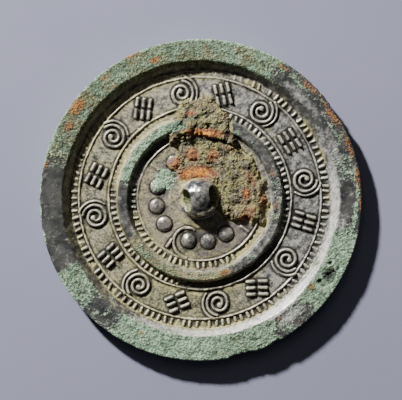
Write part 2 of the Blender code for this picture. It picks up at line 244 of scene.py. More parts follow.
# %% Where the green lies, in degrees from the right and millimetres
GREEN_ON_RIM = {
    4: 0.1, 9: 0.48, 20: 0.42, 40: 0.4, 56: 0.46, 62: 0.9, 100: 0.92, 130: 0.85, 160: 0.8,
    166: 0.45, 170: 0.06, 204: 0.06, 208: 0.7, 218: 0.75, 223: 0.38, 234: 0.36, 238: 0.92, 268: 0.9,
    296: 0.9, 301: 0.42, 314: 0.38, 319: 0.85, 340: 0.95, 347: 0.7, 352: 0.2,
}
GREEN_ON_RIDGE = {
    0: 0.45, 14: 0.45, 22: 0.1, 60: 0.08, 100: 0.55, 112: 0.92, 160: 0.9, 170: 0.3, 176: 0.1,
    208: 0.12, 218: 0.58, 240: 0.5, 256: 0.46, 280: 0.46, 290: 0.28, 296: 0.06, 332: 0.08,
    340: 0.45,
}
# Each spot: angle, radius, half its length round the mirror, half its width along the radius, strength
GREEN_SPOTS = [
    (150, 10.0, 2.6, 2.6, 0.95), (164, 11.0, 1.5, 1.5, 0.8), (311, 18.9, 0.6, 0.6, 1.0),
    (47, 19.0, 0.8, 0.8, 0.6), (180, 16.9, 0.5, 0.5, 0.7), (186, 16.8, 0.5, 0.4, 0.6),
    (332, 32.8, 2.4, 0.8, 0.6), (228, 32.8, 2.0, 0.5, 0.5), (256, 33.4, 3.0, 0.6, 0.6),
    # The thin spots at 39.8 mm from 166 to 193 degrees draw the left edge's bevel catching the lamp: a
    # painted glint in green
    (355, 38.6, 4.0, 0.8, 0.8), (3, 39.0, 3.0, 0.6, 0.7), (166, 39.8, 3.5, 0.35, 0.9),
    (175, 39.8, 3.5, 0.3, 0.9), (184, 39.8, 3.5, 0.3, 0.9), (193, 39.8, 3.5, 0.3, 0.8),
    (30, 37.0, 7.0, 0.5, 0.75), (48, 37.6, 7.0, 0.5, 0.8), (118, 19.4, 2.2, 1.2, 0.8),
    (62, 18.6, 1.2, 1.2, 0.7),
]
# How green the rest is, and places where the green has come off
GREEN_ELSEWHERE = 0.10
GREY_SPOTS = [
    (48, 35.6, 8.0, 1.3, 0.9), (30, 35.3, 5.0, 1.2, 0.8), (20, 26.4, 3.0, 2.4, 0.6),
]


def around(angle, notes):
    """The value between the two nearest notes, going round the mirror."""
    return np.interp(np.degrees(angle), list(notes), list(notes.values()), period=360)


def spots(x, y, notes):
    """How strongly a point lies in any of these spots, fading out over their edges."""
    strongest = np.zeros(x.shape)
    for angle, radius, length, width, strength in notes:
        cosine, sine = math.cos(math.radians(angle)), math.sin(math.radians(angle))
        outwards = (x * cosine + y * sine - radius) / width
        sideways = (y * cosine - x * sine) / length
        strongest = np.maximum(strongest, strength * np.exp(-(outwards**2 + sideways**2) * 0.7))
    return strongest


def soft_step(value, middle, softness):
    """Goes from 0 to 1 as value passes middle, over twice the softness."""
    share = np.clip((value - middle) / (2 * softness) + 0.5, 0, 1)
    return share * share * (3 - 2 * share)


def blend(start, end, share):
    return start + (end - start) * share


def greenness(x, y):
    """How likely the granular green patina is, from 0 to 1."""
    radius, angle = np.hypot(x, y), np.arctan2(y, x)
    on_rim = soft_step(radius, rim_inner - 0.5, 0.5)
    on_ridge = soft_step(radius, ridge_in + 0.3, 0.3) * soft_step(-radius, -ridge_out + 0.3, 0.3)
    amount = GREEN_ELSEWHERE + on_rim * (around(angle, GREEN_ON_RIM) - GREEN_ELSEWHERE)
    amount += on_ridge * (around(angle, GREEN_ON_RIDGE) - GREEN_ELSEWHERE)
    amount = np.maximum(amount, spots(x, y, GREEN_SPOTS))
    amount *= 1 - spots(x, y, GREY_SPOTS)
    return np.clip(amount, 0, 1)


on_top_and_right = greenness(np.array([0.0, 37.0]), np.array([37.0, 0.0]))
print("Greenness of the rim at the top and at the right:", on_top_and_right.round(2))

# %% [markdown]
# ## Cast lines
#
# The founder pressed the pattern into clay, so each raised line came out with a rounded crest and
# steep, slightly soft sides. All of the pattern can be written as one question: how far is this
# point from the nearest line? The answer goes through one cross-section for every kind of line,
# and where two lines meet, the higher one wins. This is far lighter than hundreds of separate
# shapes joined together, and the joints come out smooth, as metal that has flowed.

# %% Cross-sections
FOOT_SPREAD = 0.03
CREST_SHARE = 0.42


def raised(distance, width):
    """A rounded cross-section: 1 on the middle of the crest, 0 beside the line."""
    flat = CREST_SHARE * width / 2
    share = np.clip((distance - flat) / (width / 2 + FOOT_SPREAD - flat), 0, 1)
    return 0.5 + 0.5 * np.cos(math.pi * share)


def ramp(value, start, end, softness):
    """Rises evenly from 0 at start to 1 at end, with rounded corners."""
    rise = np.logaddexp(0, (value - start) / softness) - np.logaddexp(0, (value - end) / softness)
    return rise * softness / (end - start)


def ring_line(x, y, outer):
    """A line all round the middle, worn down in places."""
    worn = np.clip(0.75 + layered(x, y, (4.5, 0.40, 20), (1.2, 0.20, 24)), 0.3, 1.0)
    return LINE_HEIGHT * worn * raised(np.abs(np.hypot(x, y) - outer + LINE_WIDTH / 2), LINE_WIDTH)


def bar_distance(along, across, length, width):
    """Distance from a straight stroke with round ends that lies on the first axis."""
    beyond = np.maximum(np.abs(along) - (length - width) / 2, 0)
    return np.hypot(beyond, across)


print("Heights across half a line:", raised(np.linspace(0, LINE_WIDTH / 2, 5), LINE_WIDTH).round(2))

# %% [markdown]
# ## Teeth
#
# Three rings of short strokes point at the middle. They were cut into the mould one by one, so no
# two gaps are quite alike. Each point of the surface first finds the number of its nearest tooth,
# and that number gives the tooth its own small shift and height. Going round the mirror the teeth
# are lost in places under corrosion, which a few notes for each ring describe.

# %% Rings of teeth
OUTER_TEETH_LEFT = {
    20: 0.9, 50: 0.8, 62: 0.5, 75: 0.2, 110: 0.1, 130: 0.15, 155: 0.3, 178: 0.7, 195: 1.0, 295: 1.0,
    308: 0.65, 335: 0.6, 350: 0.8,
}
INNER_TEETH_LEFT = {
    0: 0.9, 60: 0.9, 80: 0.3, 100: 0.08, 160: 0.25, 178: 0.75, 215: 0.85, 250: 0.9, 264: 0.15,
    334: 0.15, 350: 0.8,
}
SEAT_TEETH_LEFT = {
    0: 0.10, 160: 0.15, 172: 0.6, 200: 0.7, 226: 0.6, 250: 0.9, 290: 0.9, 308: 0.25, 350: 0.10,
}
TEETH_LOST, TOOTH_STUMP, TOOTH_SHORTER = 0.08, 0.25, 0.3
TOOTH_SHIFT, TOOTH_LEAN, TOOTH_HEIGHTS = 0.07, 0.14, (0.65, 1.05)
MEAN_TOOTH_WIDTH, TOOTH_WIDTH_SPREAD = 0.95, 0.09


def teeth(radius, angle, outer, length, gap, left, seed):
    pitch = TOOTH_WIDTH + gap
    middle = outer - length / 2
    count = round(math.tau * middle / pitch)
    chance = np.random.default_rng(seed)
    shift = chance.normal(0, TOOTH_SHIFT, count)
    width = TOOTH_WIDTH * chance.normal(MEAN_TOOTH_WIDTH, TOOTH_WIDTH_SPREAD, count)
    height, lean = chance.uniform(*TOOTH_HEIGHTS, count), chance.normal(0, TOOTH_LEAN, count)
    height[chance.random(count) < TEETH_LOST] = TOOTH_STUMP
    place = angle / math.tau * count
    number = np.round(place).astype(int)
    own = number % count
    outwards = radius - middle
    across = (place - number - shift[own]) * math.tau * radius / count + outwards * lean[own]
    stroke = raised(bar_distance(outwards, across, length - TOOTH_SHORTER, TOOTH_WIDTH / 2), width[own])
    return TOOTH_HEIGHT * stroke * height[own] * around(angle, left)


outer_teeth_middle = outer_teeth_out - OUTER_TEETH_LENGTH / 2
print("Teeth in the outer ring:", round(math.tau * outer_teeth_middle / (TOOTH_WIDTH + OUTER_TOOTH_GAP)))

# %% [markdown]
# ## Spirals, tails and strokes
#
# The band carries eight spirals. A line that winds outwards by the same step each turn is an
# Archimedean spiral, and on it the nearest turn to any point follows from the point's bearing
# alone, so no curve has to be traced. A short tail sweeps round the clockwise side of each. Between
# the spirals lie two rows of three plain parallel strokes, turned further in each place and a little
# bolder than in the solid, so that they catch as much light and shade as the spirals do.

# %% Pattern of the band
SPIRAL_COUNT = 8
SPIRAL_FIRST_ANGLE = math.radians(10)
SPIRAL_EYE, SPIRAL_EYE_ANGLE, EYE_FATTER = 0.68, math.radians(110), 0.3
SPIRAL_WIDTH, SPIRAL_GAP, SPIRAL_CLEARANCE, SPIRAL_HEIGHT = 0.80, 0.50, 0.3, 0.5
TAIL_GAP, TAIL_CLOSES_IN = 0.95, 0.3
TAIL_WIDTH, TAIL_NARROWS, TAIL_SINKS = 0.95, 0.35, 0.25
TAIL_FROM, TAIL_TO = math.radians(66), math.radians(-45)
MARK_LENGTH, MARK_WIDTH, MARK_HEIGHT, MARK_END_GAP, MARK_PITCH = 2.6, 0.95, 0.6, 0.4, 1.6
MARK_SLANT_STEP = math.radians(65)

spiral_radius = BAND_WIDTH / 2 - SPIRAL_CLEARANCE
spiral_pitch = SPIRAL_WIDTH + SPIRAL_GAP
spiral_turns = (spiral_radius - SPIRAL_EYE) / spiral_pitch


def on_band(x, y, number, first):
    """Distances clockwise and outwards from the middle of one of eight places on the band."""
    angle = first + number * math.tau / SPIRAL_COUNT
    sideways = x * np.sin(angle) - y * np.cos(angle)
    outwards = x * np.cos(angle) + y * np.sin(angle) - band_middle
    return sideways, outwards


def nearest_place(angle, first):
    return np.round((angle - first) * SPIRAL_COUNT / math.tau)


def spirals(x, y, angle):
    sideways, outwards = on_band(x, y, nearest_place(angle, SPIRAL_FIRST_ANGLE), SPIRAL_FIRST_ANGLE)
    reach = np.hypot(sideways, outwards)
    first_turn = ((np.arctan2(outwards, sideways) - SPIRAL_EYE_ANGLE) / math.tau) % 1
    turn = np.round((reach - SPIRAL_EYE) / spiral_pitch - first_turn)
    turn = np.clip(turn, 0, np.floor(spiral_turns - first_turn))
    distance = np.abs(reach - SPIRAL_EYE - spiral_pitch * (turn + first_turn))
    for turns, fatter in ((0.0, EYE_FATTER), (spiral_turns, 0.0)):
        end, bearing = SPIRAL_EYE + spiral_pitch * turns, SPIRAL_EYE_ANGLE + turns * math.tau
        to_end = np.hypot(sideways - end * math.cos(bearing), outwards - end * math.sin(bearing))
        distance = np.minimum(distance, to_end - fatter)
    return SPIRAL_HEIGHT * raised(distance, SPIRAL_WIDTH)


def tails(x, y, angle):
    sideways, outwards = on_band(x, y, nearest_place(angle, SPIRAL_FIRST_ANGLE), SPIRAL_FIRST_ANGLE)
    bearing = np.arctan2(outwards, sideways)
    held = np.clip(bearing, TAIL_TO, TAIL_FROM)
    share = (TAIL_FROM - held) / (TAIL_FROM - TAIL_TO)
    sweep = spiral_radius + TAIL_GAP - TAIL_CLOSES_IN * share
    distance = np.hypot(sideways - sweep * np.cos(held), outwards - sweep * np.sin(held))
    width = SPIRAL_WIDTH * (TAIL_WIDTH - TAIL_NARROWS * share)
    return SPIRAL_HEIGHT * raised(distance, width) * (1 - TAIL_SINKS * share)


def marks(x, y, angle):
    first = SPIRAL_FIRST_ANGLE + math.pi / SPIRAL_COUNT
    number = nearest_place(angle, first)
    sideways, outwards = on_band(x, y, number, first)
    slant = MARK_SLANT_STEP * (number % SPIRAL_COUNT)
    along = sideways * np.cos(slant) - outwards * np.sin(slant)
    across = sideways * np.sin(slant) + outwards * np.cos(slant)
    row = (MARK_LENGTH + MARK_END_GAP) / 2
    across = across - MARK_PITCH * np.clip(np.round(across / MARK_PITCH), -1, 1)
    distance = bar_distance(np.abs(along) - row, across, MARK_LENGTH, MARK_WIDTH)
    return MARK_HEIGHT * raised(distance, MARK_WIDTH)


print("Each spiral makes", round(spiral_turns, 2), "turns")

# %% [markdown]
# ## Knob, seat, beads and bars
#
# In the middle a pierced knob stands on a low round seat, ringed by twelve beads in four groups,
# with a bar between the groups and a thin line that curls round one bead. The knob and the beads are
# domes, whose height follows from the distance to their middle. The knob is fuller than half a ball
# and the beads are slimmer, so the share of the way out is raised to a power before it becomes a
# height. Smooth noise then dents both, as corrosion does.

# %% The middle of the mirror
CURL_BEAD = math.radians(255)
CURL_FROM, CURL_TO = math.radians(62), math.radians(262)
CURL_RADII, CURL_HEIGHT = (3.0, 4.3), 0.34
KNOB_WORN, BEAD_LOWER = 0.14, 0.06
BARS_LEFT = {60: 1.0, 110: 0.3, 160: 0.3, 200: 1.0, 260: 1.0, 320: 0.4, 340: 0.4}


def dome(distance, radius, slimness):
    """1 in the middle and 0 at the radius; half a ball at a slimness of 1."""
    return np.sqrt(np.clip(1 - (distance / radius) ** (2 / slimness), 0, 1))


def beads(x, y):
    height = np.zeros(x.shape)
    for number, angle in enumerate(BEAD_ANGLES):
        distance = np.hypot(x - bead_circle * math.cos(angle), y - bead_circle * math.sin(angle))
        own_height = BEAD_HEIGHT - BEAD_LOWER * (number % 3)
        height = np.maximum(height, own_height * dome(distance, BEAD_RADIUS, BEAD_SLIMNESS))
    return height * (0.9 + layered(x, y, (1.5, 0.12, 33), (0.7, 0.08, 34)))


def bars(x, y):
    height = np.zeros(x.shape)
    middle = seat_line_out - LINE_WIDTH - BAR_CLEARANCE - BAR_LENGTH / 2
    for angle in BAR_ANGLES:
        along = x * math.cos(angle) + y * math.sin(angle) - middle
        across = y * math.cos(angle) - x * math.sin(angle)
        distance = bar_distance(along, across, BAR_LENGTH, SPIRAL_WIDTH)
        stroke = SPIRAL_HEIGHT * raised(distance, SPIRAL_WIDTH)
        height = np.maximum(height, stroke * around(angle, BARS_LEFT))
    return height


def curl(x, y):
    """The line that leaves a bar and curls round the back of the next bead into the seat's line."""
    sideways = x - bead_circle * math.cos(CURL_BEAD)
    upwards = y - bead_circle * math.sin(CURL_BEAD)
    bearing = np.arctan2(upwards, sideways) % math.tau
    held = np.clip(bearing, CURL_FROM, CURL_TO)
    sweep = blend(*CURL_RADII, (held - CURL_FROM) / (CURL_TO - CURL_FROM))
    distance = np.hypot(sideways - sweep * np.cos(held), upwards - sweep * np.sin(held))
    worn = np.clip(0.8 + 0.5 * smooth_noise(x, y, 1.5, 35), 0.3, 1.0)
    return CURL_HEIGHT * worn * raised(distance, SPIRAL_WIDTH)


def knob(x, y, radius):
    stand = FIELD_THICKNESS + SEAT_HEIGHT
    dented = (layered(x, y, (2.3, 0.12, 31), (1.1, 0.06, 32)) - KNOB_WORN) * (radius < KNOB_RADIUS)
    return stand + (KNOB_HEIGHT - SEAT_HEIGHT) * dome(radius, KNOB_RADIUS, KNOB_SLIMNESS) + dented


print("Beads:", len(BEAD_ANGLES), "and bars:", len(BAR_ANGLES))

# %% [markdown]
# ## The crust's extent
#
# A crust of earth and corrosion has grown over the right of the middle and spilled over the raised
# ring at the top. The casting has to know where it lies, because nothing of the pattern shows
# through where it is thick. Its edge is a distance in millimetres, positive inside, that noise
# pushes in and out.

# %% Where the crust lies
CRUST_FROM_ANGLES, CRUST_TO_ANGLES = (-42, -22), (146, 109)
CRUST_LIFT = 0.12
CRUST_HEIGHTS = (1.3, 0.7)
CRUST_TO_RIDGE = 1.0
LUMP_FROM_ANGLES, LUMP_TO_ANGLES = (56, 82), (118, 97)
LUMP_INWARDS, LUMP_OUTWARDS, LUMP_RISE = 1.6, 4.8, 0.3
CRUST_UNDER_KNOB, CRUST_OVER_BEADS, CRUST_SINKS = 0.4, 0.25, 0.5
LUMP_FOOT, LUMP_OVER_EDGE, LUMP_RAGGED = SPIRAL_HEIGHT - 0.1, 0.8, 1.5
# Where the crust's edge starts to rise, where it has risen, and how rounded it is
CRUST_EDGE, LUMP_EDGE = (-0.7, 1.3, 0.2), (-0.6, 0.9, 0.2)


def inside_sector(radius, angle, inner, outer, from_angles, to_angles):
    """How deep inside a sector with slanting ends a point lies, and its share of the way along."""
    out = np.clip((radius - inner) / (outer - inner), 0, 1)
    first = np.radians(blend(*from_angles, out))
    last = np.radians(blend(*to_angles, out))
    depth = np.minimum((angle - first) * radius, (last - angle) * radius)
    return np.minimum(depth, outer - radius), np.clip((angle - first) / (last - first), 0, 1)


def crust_level(x, y):
    """The smooth height of the crust's skin, which sinks below the field outside the crust."""
    radius, angle = np.hypot(x, y), np.arctan2(y, x)
    wobble = layered(x, y, (3.4, 1.0, 41), (1.5, 0.6, 42), (0.7, 0.35, 45)) + CRUST_LIFT
    lowest = FIELD_THICKNESS - CRUST_SINKS

    inner, outer = KNOB_RADIUS - CRUST_UNDER_KNOB, ridge_in - CRUST_TO_RIDGE
    depth, share = inside_sector(radius, angle, inner, outer, CRUST_FROM_ANGLES, CRUST_TO_ANGLES)
    rise = blend(*CRUST_HEIGHTS, share) + layered(x, y, (3.0, 0.35, 43))
    rise = np.maximum(rise, beads(x, y) + CRUST_OVER_BEADS)
    flat = lowest + (rise + CRUST_SINKS) * ramp(depth + wobble, *CRUST_EDGE)

    inner, outer = ridge_in - LUMP_INWARDS, ridge_out + LUMP_OUTWARDS
    depth, share = inside_sector(radius, angle, inner, outer, LUMP_FROM_ANGLES, LUMP_TO_ANGLES)
    depth = np.minimum(depth, radius - inner + LUMP_OVER_EDGE)
    beyond = np.clip((radius - ridge_out) / LUMP_OUTWARDS, 0, 1)
    crest = RIDGE_HEIGHT + LUMP_RISE + layered(x, y, (2.4, 0.4, 44))
    rise = blend(crest, LUMP_FOOT, beyond)
    spilled = lowest + (rise + CRUST_SINKS) * ramp(depth + LUMP_RAGGED * wobble, *LUMP_EDGE)
    return np.maximum(flat, spilled)


beside_knob = crust_level(np.array([9.0]), np.array([1.0]))
print("Crust over the field beside the knob:", (beside_knob - FIELD_THICKNESS).round(2), "mm")

# %% [markdown]
# ## One height for every point
#
# Everything on the back is now one function from a place to a height. Before it looks anything up,
# it shifts the place by about a tenth of a millimetre of smooth noise, which makes ruled lines
# look cut by hand. A rounded crest throws a shorter shadow than the solid's sharp one, so the
# pattern is lifted by a fifth, a tenth of a millimetre. Wear lowers it again here and there. The
# knob rises from a soft fillet, a low unevenness covers it all, more of it where the patina is
# granular, and corrosion has eaten pits into the rim.

# %% The height of the back
OUTER_LINE_LEFT = {60: 0.9, 90: 0.5, 115: 0.6, 150: 0.7, 180: 1.0}
SEAT_LINE_LEFT = {100: 0.8, 135: 0.5, 165: 0.4, 235: 0.35, 262: 0.7, 285: 1.0}
UNEVEN = ((3.1, 0.035, 11), (1.3, 0.028, 12), (0.65, 0.020, 13))
GREEN_IS_ROUGHER = 2.2
RIM_SUNK = 0.07
FILLET = 0.45
PATTERN_LIFT = 1.2
SLOPE_ROUNDING, RIDGE_ROUNDING, SEAT_ROUNDING = 0.12, 0.07, 0.08
# Pits eaten into the metal; their strength is their depth in millimetres
PIT_SPOTS = [
    (330, 36.9, 1.5, 1.3, 0.55), (325.5, 35.9, 0.6, 0.6, 0.4), (333.5, 38.0, 0.6, 0.5, 0.4),
    (327.5, 38.3, 0.5, 0.4, 0.4), (334, 35.7, 0.6, 0.5, 0.4), (325, 37.4, 0.5, 0.5, 0.3),
    (29, 30.9, 0.8, 0.7, 0.4), (152, 36.0, 1.2, 0.7, 0.2), (306, 38.0, 0.8, 0.5, 0.2),
    (292, 37.6, 0.7, 0.4, 0.25), (75, 37.0, 0.8, 0.6, 0.2), (120, 36.6, 0.9, 0.6, 0.2),
]


def pattern(x, y):
    """Height of the raised pattern over the field, without the broad rings."""
    radius, angle = np.hypot(x, y), np.arctan2(y, x)
    height = ring_line(x, y, outer_line_out) * around(angle, OUTER_LINE_LEFT)
    for other in (
        ring_line(x, y, inner_line_out),
        ring_line(x, y, seat_line_out) * around(angle, SEAT_LINE_LEFT),
        teeth(radius, angle, outer_teeth_out, OUTER_TEETH_LENGTH, OUTER_TOOTH_GAP, OUTER_TEETH_LEFT, 21),
        teeth(radius, angle, inner_teeth_out, INNER_TEETH_LENGTH, INNER_TOOTH_GAP, INNER_TEETH_LEFT, 22),
        teeth(radius, angle, seat_teeth_out, SEAT_TEETH_LENGTH, INNER_TOOTH_GAP, SEAT_TEETH_LEFT, 23),
        spirals(x, y, angle),
        tails(x, y, angle),
        marks(x, y, angle),
        bars(x, y),
        curl(x, y),
        beads(x, y) / PATTERN_LIFT,
    ):
        height = np.maximum(height, other)
    return height


def shifted(x, y):
    """A place on the design, measured from its own middle and pushed about by hand-made unevenness."""
    x, y = x - DESIGN_OFFSET[0], y - DESIGN_OFFSET[1]
    push_x = layered(x, y, (2.6, 0.12, 14), (0.8, 0.05, 18))
    push_y = layered(x, y, (2.6, 0.12, 15), (0.8, 0.05, 19))
    return x + push_x, y + push_y


def uneven(x, y):
    return (1 + GREEN_IS_ROUGHER * greenness(x, y)) * layered(x, y, *UNEVEN)


def back_height(x, y):
    """Height of the casting's back, in millimetres over the polished face."""
    design_x, design_y = shifted(x, y)
    radius = np.hypot(design_x, design_y)
    slope = ramp(radius, slope_foot, rim_inner, SLOPE_ROUNDING)
    height = FIELD_THICKNESS + (RIM_THICKNESS - FIELD_THICKNESS) * slope
    ridge = ramp(radius, ridge_in, ridge_in + RIDGE_SLOPE, RIDGE_ROUNDING)
    ridge -= ramp(radius, ridge_out - RIDGE_SLOPE, ridge_out, RIDGE_ROUNDING)
    height += RIDGE_HEIGHT * ridge
    seat_edge = KNOB_RADIUS + SEAT_WIDTH
    height += SEAT_HEIGHT * ramp(-radius, -seat_edge, -seat_edge + SEAT_HEIGHT, SEAT_ROUNDING)
    worn = np.clip(0.92 + layered(x, y, (4.0, 0.12, 16), (1.4, 0.08, 17)), 0.6, 1.0)
    height += FILLET * np.clip(1 - (radius - KNOB_RADIUS) / SEAT_WIDTH, 0, 1) ** 2
    height += PATTERN_LIFT * worn * pattern(design_x, design_y)
    on_rim = soft_step(radius, rim_inner, 0.3)
    height = height + uneven(x, y) - RIM_SUNK * on_rim
    height -= spots(x, y, PIT_SPOTS) * (1 + 0.8 * smooth_noise(x, y, 0.7, 19))
    with_knob = np.maximum(height, knob(design_x, design_y, radius))
    height = np.where(radius < KNOB_RADIUS + 0.05, with_knob, height)
    return np.minimum(height, blend(KNOB_HEIGHT + FIELD_THICKNESS, RIM_THICKNESS, on_rim))


three_heights = back_height(np.array([0, 26.4, 37.0]), np.array([0.4, 0, 0]))
print("Height at the knob, field and rim:", three_heights.round(2))

# %% [markdown]
# ## The edge of the rim
#
# The outline isn't a perfect circle: three chips are missing, and corrosion has nibbled at the rest.
# The chips are those of the solid, half ovals that are deepest at the top edge and run out
# towards the foot.

# %% The outline
CHIPS = ((33, 5.0, 0.4), (285, 7.0, 0.6), (298, 2.4, 0.5))
EDGE_NIBBLES = {0: 0.05, 12: 0.07, 20: 0.20, 40: 0.20, 60: 0.08, 180: 0.04, 260: 0.08, 300: 0.14, 330: 0.06}


def outline(angle, height):
    """The casting's radius at this angle and height."""
    along = angle * MIRROR_RADIUS
    nibbled = around(angle, EDGE_NIBBLES) * (0.5 + 0.5 * smooth_noise(along, height, 1.3, 51))
    nibbled += 0.03 * (1 + smooth_noise(along, height, 0.6, 52))
    for degrees, width, depth in CHIPS:
        away = (angle - math.radians(degrees) + math.pi) % math.tau - math.pi
        sideways, down = away * MIRROR_RADIUS / (width / 2), 1 - height / RIM_THICKNESS
        hollow = np.sqrt(np.clip(1 - sideways**2 - down**2, 0, 1))
        nibbled = nibbled + depth * hollow * (1 + 0.3 * smooth_noise(along, height, 0.9, 53))
    return MIRROR_RADIUS - nibbled


two_radii = outline(np.radians([285.0, 180.0]), RIM_THICKNESS)
print("Radius in the largest chip and on the left:", two_radii.round(2))

# %% [markdown]
# ## The casting's mesh
#
# Rings of points round the middle suit a round casting, because its edges then follow the rows. The
# rows lie close together over the pattern and further apart on the plain rim, then turn over the
# edge, down the side, and back to the middle underneath. That makes one closed skin. It starts out
# very dense, and a Decimate modifier afterwards takes points away where the surface is flat.

# %% Rows of points from the knob over the edge to the middle of the underside
STEPS_ROUND = 1240
ROW_STEP = 0.14
RIM_ROW_STEP = 0.22
TRIANGLES_KEPT = 196_000
EDGE_ROWS, SIDE_ROWS = 4, 9
UNDERSIDE_RADII = (38.0, 34.0, 26.0, 16.0, 6.0)

angles = np.arange(STEPS_ROUND) * (math.tau / STEPS_ROUND)
last_top = MIRROR_RADIUS - EDGE_BEVEL
top_radii = np.concatenate([
    np.arange(ROW_STEP, rim_inner + 0.5, ROW_STEP),
    np.arange(rim_inner + 0.6, last_top - RIM_ROW_STEP / 2, RIM_ROW_STEP),
])

rows = []
for radius in top_radii:
    reach = radius * (outline(angles, RIM_THICKNESS) / MIRROR_RADIUS) ** (radius > rim_inner + 1)
    x, y = reach * np.cos(angles), reach * np.sin(angles)
    rows.append((x, y, back_height(x, y)))
top_z = back_height(last_top * np.cos(angles), last_top * np.sin(angles)) - EDGE_BEVEL
edge_turns = np.linspace(math.pi / 2, 0, EDGE_ROWS)
edge = [(EDGE_BEVEL * math.cos(turn), EDGE_BEVEL * math.sin(turn)) for turn in edge_turns]
for out, up in edge:
    reach = outline(angles, top_z + up) - EDGE_BEVEL + out
    rows.append((reach * np.cos(angles), reach * np.sin(angles), top_z + up))
for share in np.linspace(0, 1, SIDE_ROWS)[1:-1]:
    height = blend(top_z, EDGE_BEVEL, share)
    reach = outline(angles, height)
    rows.append((reach * np.cos(angles), reach * np.sin(angles), height))
for out, up in reversed(edge):
    height = np.full(STEPS_ROUND, EDGE_BEVEL - up)
    reach = outline(angles, height) - EDGE_BEVEL + out
    rows.append((reach * np.cos(angles), reach * np.sin(angles), height))
for radius in UNDERSIDE_RADII:
    rows.append((radius * np.cos(angles), radius * np.sin(angles), np.zeros(STEPS_ROUND)))
print(len(rows), "rows of", STEPS_ROUND, "points")

# %% [markdown]
# ## From rows to one skin
#
# All rows have equally many points, so each pair of neighbours spans a strip with two triangles per
# step, and a fan closes the middle of the back and of the face. The arrays go into the mesh with
# foreach_set, which takes a whole array at once and so is far faster than adding face after face.

# %% Skin over the rows
def mesh_from(name, points, triangles):
    """A mesh from arrays of points in millimetres and of triangles."""
    mesh = bpy.data.meshes.new(name)
    mesh.vertices.add(len(points))
    mesh.vertices.foreach_set("co", (points * MM).astype(np.float32).ravel())
    mesh.loops.add(triangles.size)
    mesh.loops.foreach_set("vertex_index", triangles.astype(np.int32).ravel())
    mesh.polygons.add(len(triangles))
    mesh.polygons.foreach_set("loop_start", np.arange(0, triangles.size, 3, dtype=np.int32))
    mesh.update(calc_edges=True)
    mesh.validate()
    mesh.shade_smooth()
    return mesh


def object_from(name, mesh):
    made = bpy.data.objects.new(name, mesh)
    bpy.context.scene.collection.objects.link(made)
    return made


points = np.concatenate([np.stack(row, axis=1) for row in rows])
middle_height = float(back_height(np.zeros(1), np.zeros(1))[0])
points = np.concatenate([points, [(0, 0, middle_height), (0, 0, 0)]])
top_middle, underside_middle = len(points) - 2, len(points) - 1

step = np.arange(STEPS_ROUND)
onward = (step + 1) % STEPS_ROUND
strips = []
for row in range(len(rows) - 1):
    near, far = row * STEPS_ROUND, (row + 1) * STEPS_ROUND
    strips.append(np.stack([near + step, far + step, far + onward], axis=1))
    strips.append(np.stack([near + step, far + onward, near + onward], axis=1))
last = (len(rows) - 1) * STEPS_ROUND
strips.append(np.stack([np.full(STEPS_ROUND, top_middle), step, onward], axis=1))
strips.append(np.stack([last + step, np.full(STEPS_ROUND, underside_middle), last + onward], axis=1))
triangles = np.concatenate(strips)

casting = object_from("casting", mesh_from("casting", points, triangles))
print("The dense casting has", len(triangles), "triangles")

# %% [markdown]
# ## Fewer triangles, and the cord hole
#
# Decimate keeps the crests and drops points from the flats. The hole for the cord can't be part of
# a height, because there the surface lies above itself, so a Boolean cuts it last. The cutter is
# a row of rings that widens towards both mouths, as a hole in a mould does that was made with a
# clay core. Its floor stays level just above the seat.

# %% Thin out the mesh and pierce the knob
CORD_HOLE_RADIUS = 1.5
CORD_HOLE_FLOOR = FIELD_THICKNESS + SEAT_HEIGHT + 0.3
CORD_HOLE_ANGLE = math.radians(9)
# Each ring of a mouth: distance from the middle of the hole, half its width there, and its height
CORD_HOLE_MOUTH = ((1.4, 1.5, 3.0), (2.1, 1.9, 3.8), (2.7, 2.5, 4.8), (3.6, 3.0, 5.3), (6.4, 3.3, 5.5))
HOLE_STEPS = 28


def applied(target, kind, settings):
    """Adds a modifier to an object and keeps only its result."""
    modifier = target.modifiers.new(kind.lower(), kind)
    for name, value in settings.items():
        setattr(modifier, name, value)
    evaluated = target.evaluated_get(bpy.context.evaluated_depsgraph_get())
    result = bpy.data.meshes.new_from_object(evaluated)
    result.materials.clear()
    target.modifiers.clear()
    target.data = result
    return len(result.polygons)


def hole_cutter():
    turns = np.arange(HOLE_STEPS) * (math.tau / HOLE_STEPS)
    cosine, sine = math.cos(CORD_HOLE_ANGLE), math.sin(CORD_HOLE_ANGLE)
    ring_points = []
    mouth = [(-along, half_width, height) for along, half_width, height in reversed(CORD_HOLE_MOUTH)]
    for along, half_width, height in (*mouth, *CORD_HOLE_MOUTH):
        across = half_width * np.cos(turns)
        up = CORD_HOLE_FLOOR + height / 2 * (1 + np.sin(turns))
        x = along * cosine - across * sine + DESIGN_OFFSET[0]
        y = along * sine + across * cosine + DESIGN_OFFSET[1]
        ring_points.append(np.stack([x, y, up], axis=1))
    count = len(ring_points)
    ends = [ring_points[0].mean(axis=0), ring_points[-1].mean(axis=0)]
    cutter_points = np.concatenate([*ring_points, ends])
    here = np.arange(HOLE_STEPS)
    there = (here + 1) % HOLE_STEPS
    faces = []
    for ring in range(count - 1):
        near, far = ring * HOLE_STEPS, (ring + 1) * HOLE_STEPS
        faces.append(np.stack([near + here, near + there, far + there], axis=1))
        faces.append(np.stack([near + here, far + there, far + here], axis=1))
    first_end, last_end = count * HOLE_STEPS, count * HOLE_STEPS + 1
    faces.append(np.stack([there, here, np.full(HOLE_STEPS, first_end)], axis=1))
    far = (count - 1) * HOLE_STEPS
    faces.append(np.stack([far + here, far + there, np.full(HOLE_STEPS, last_end)], axis=1))
    return object_from("hole_cutter", mesh_from("hole_cutter", cutter_points, np.concatenate(faces)))


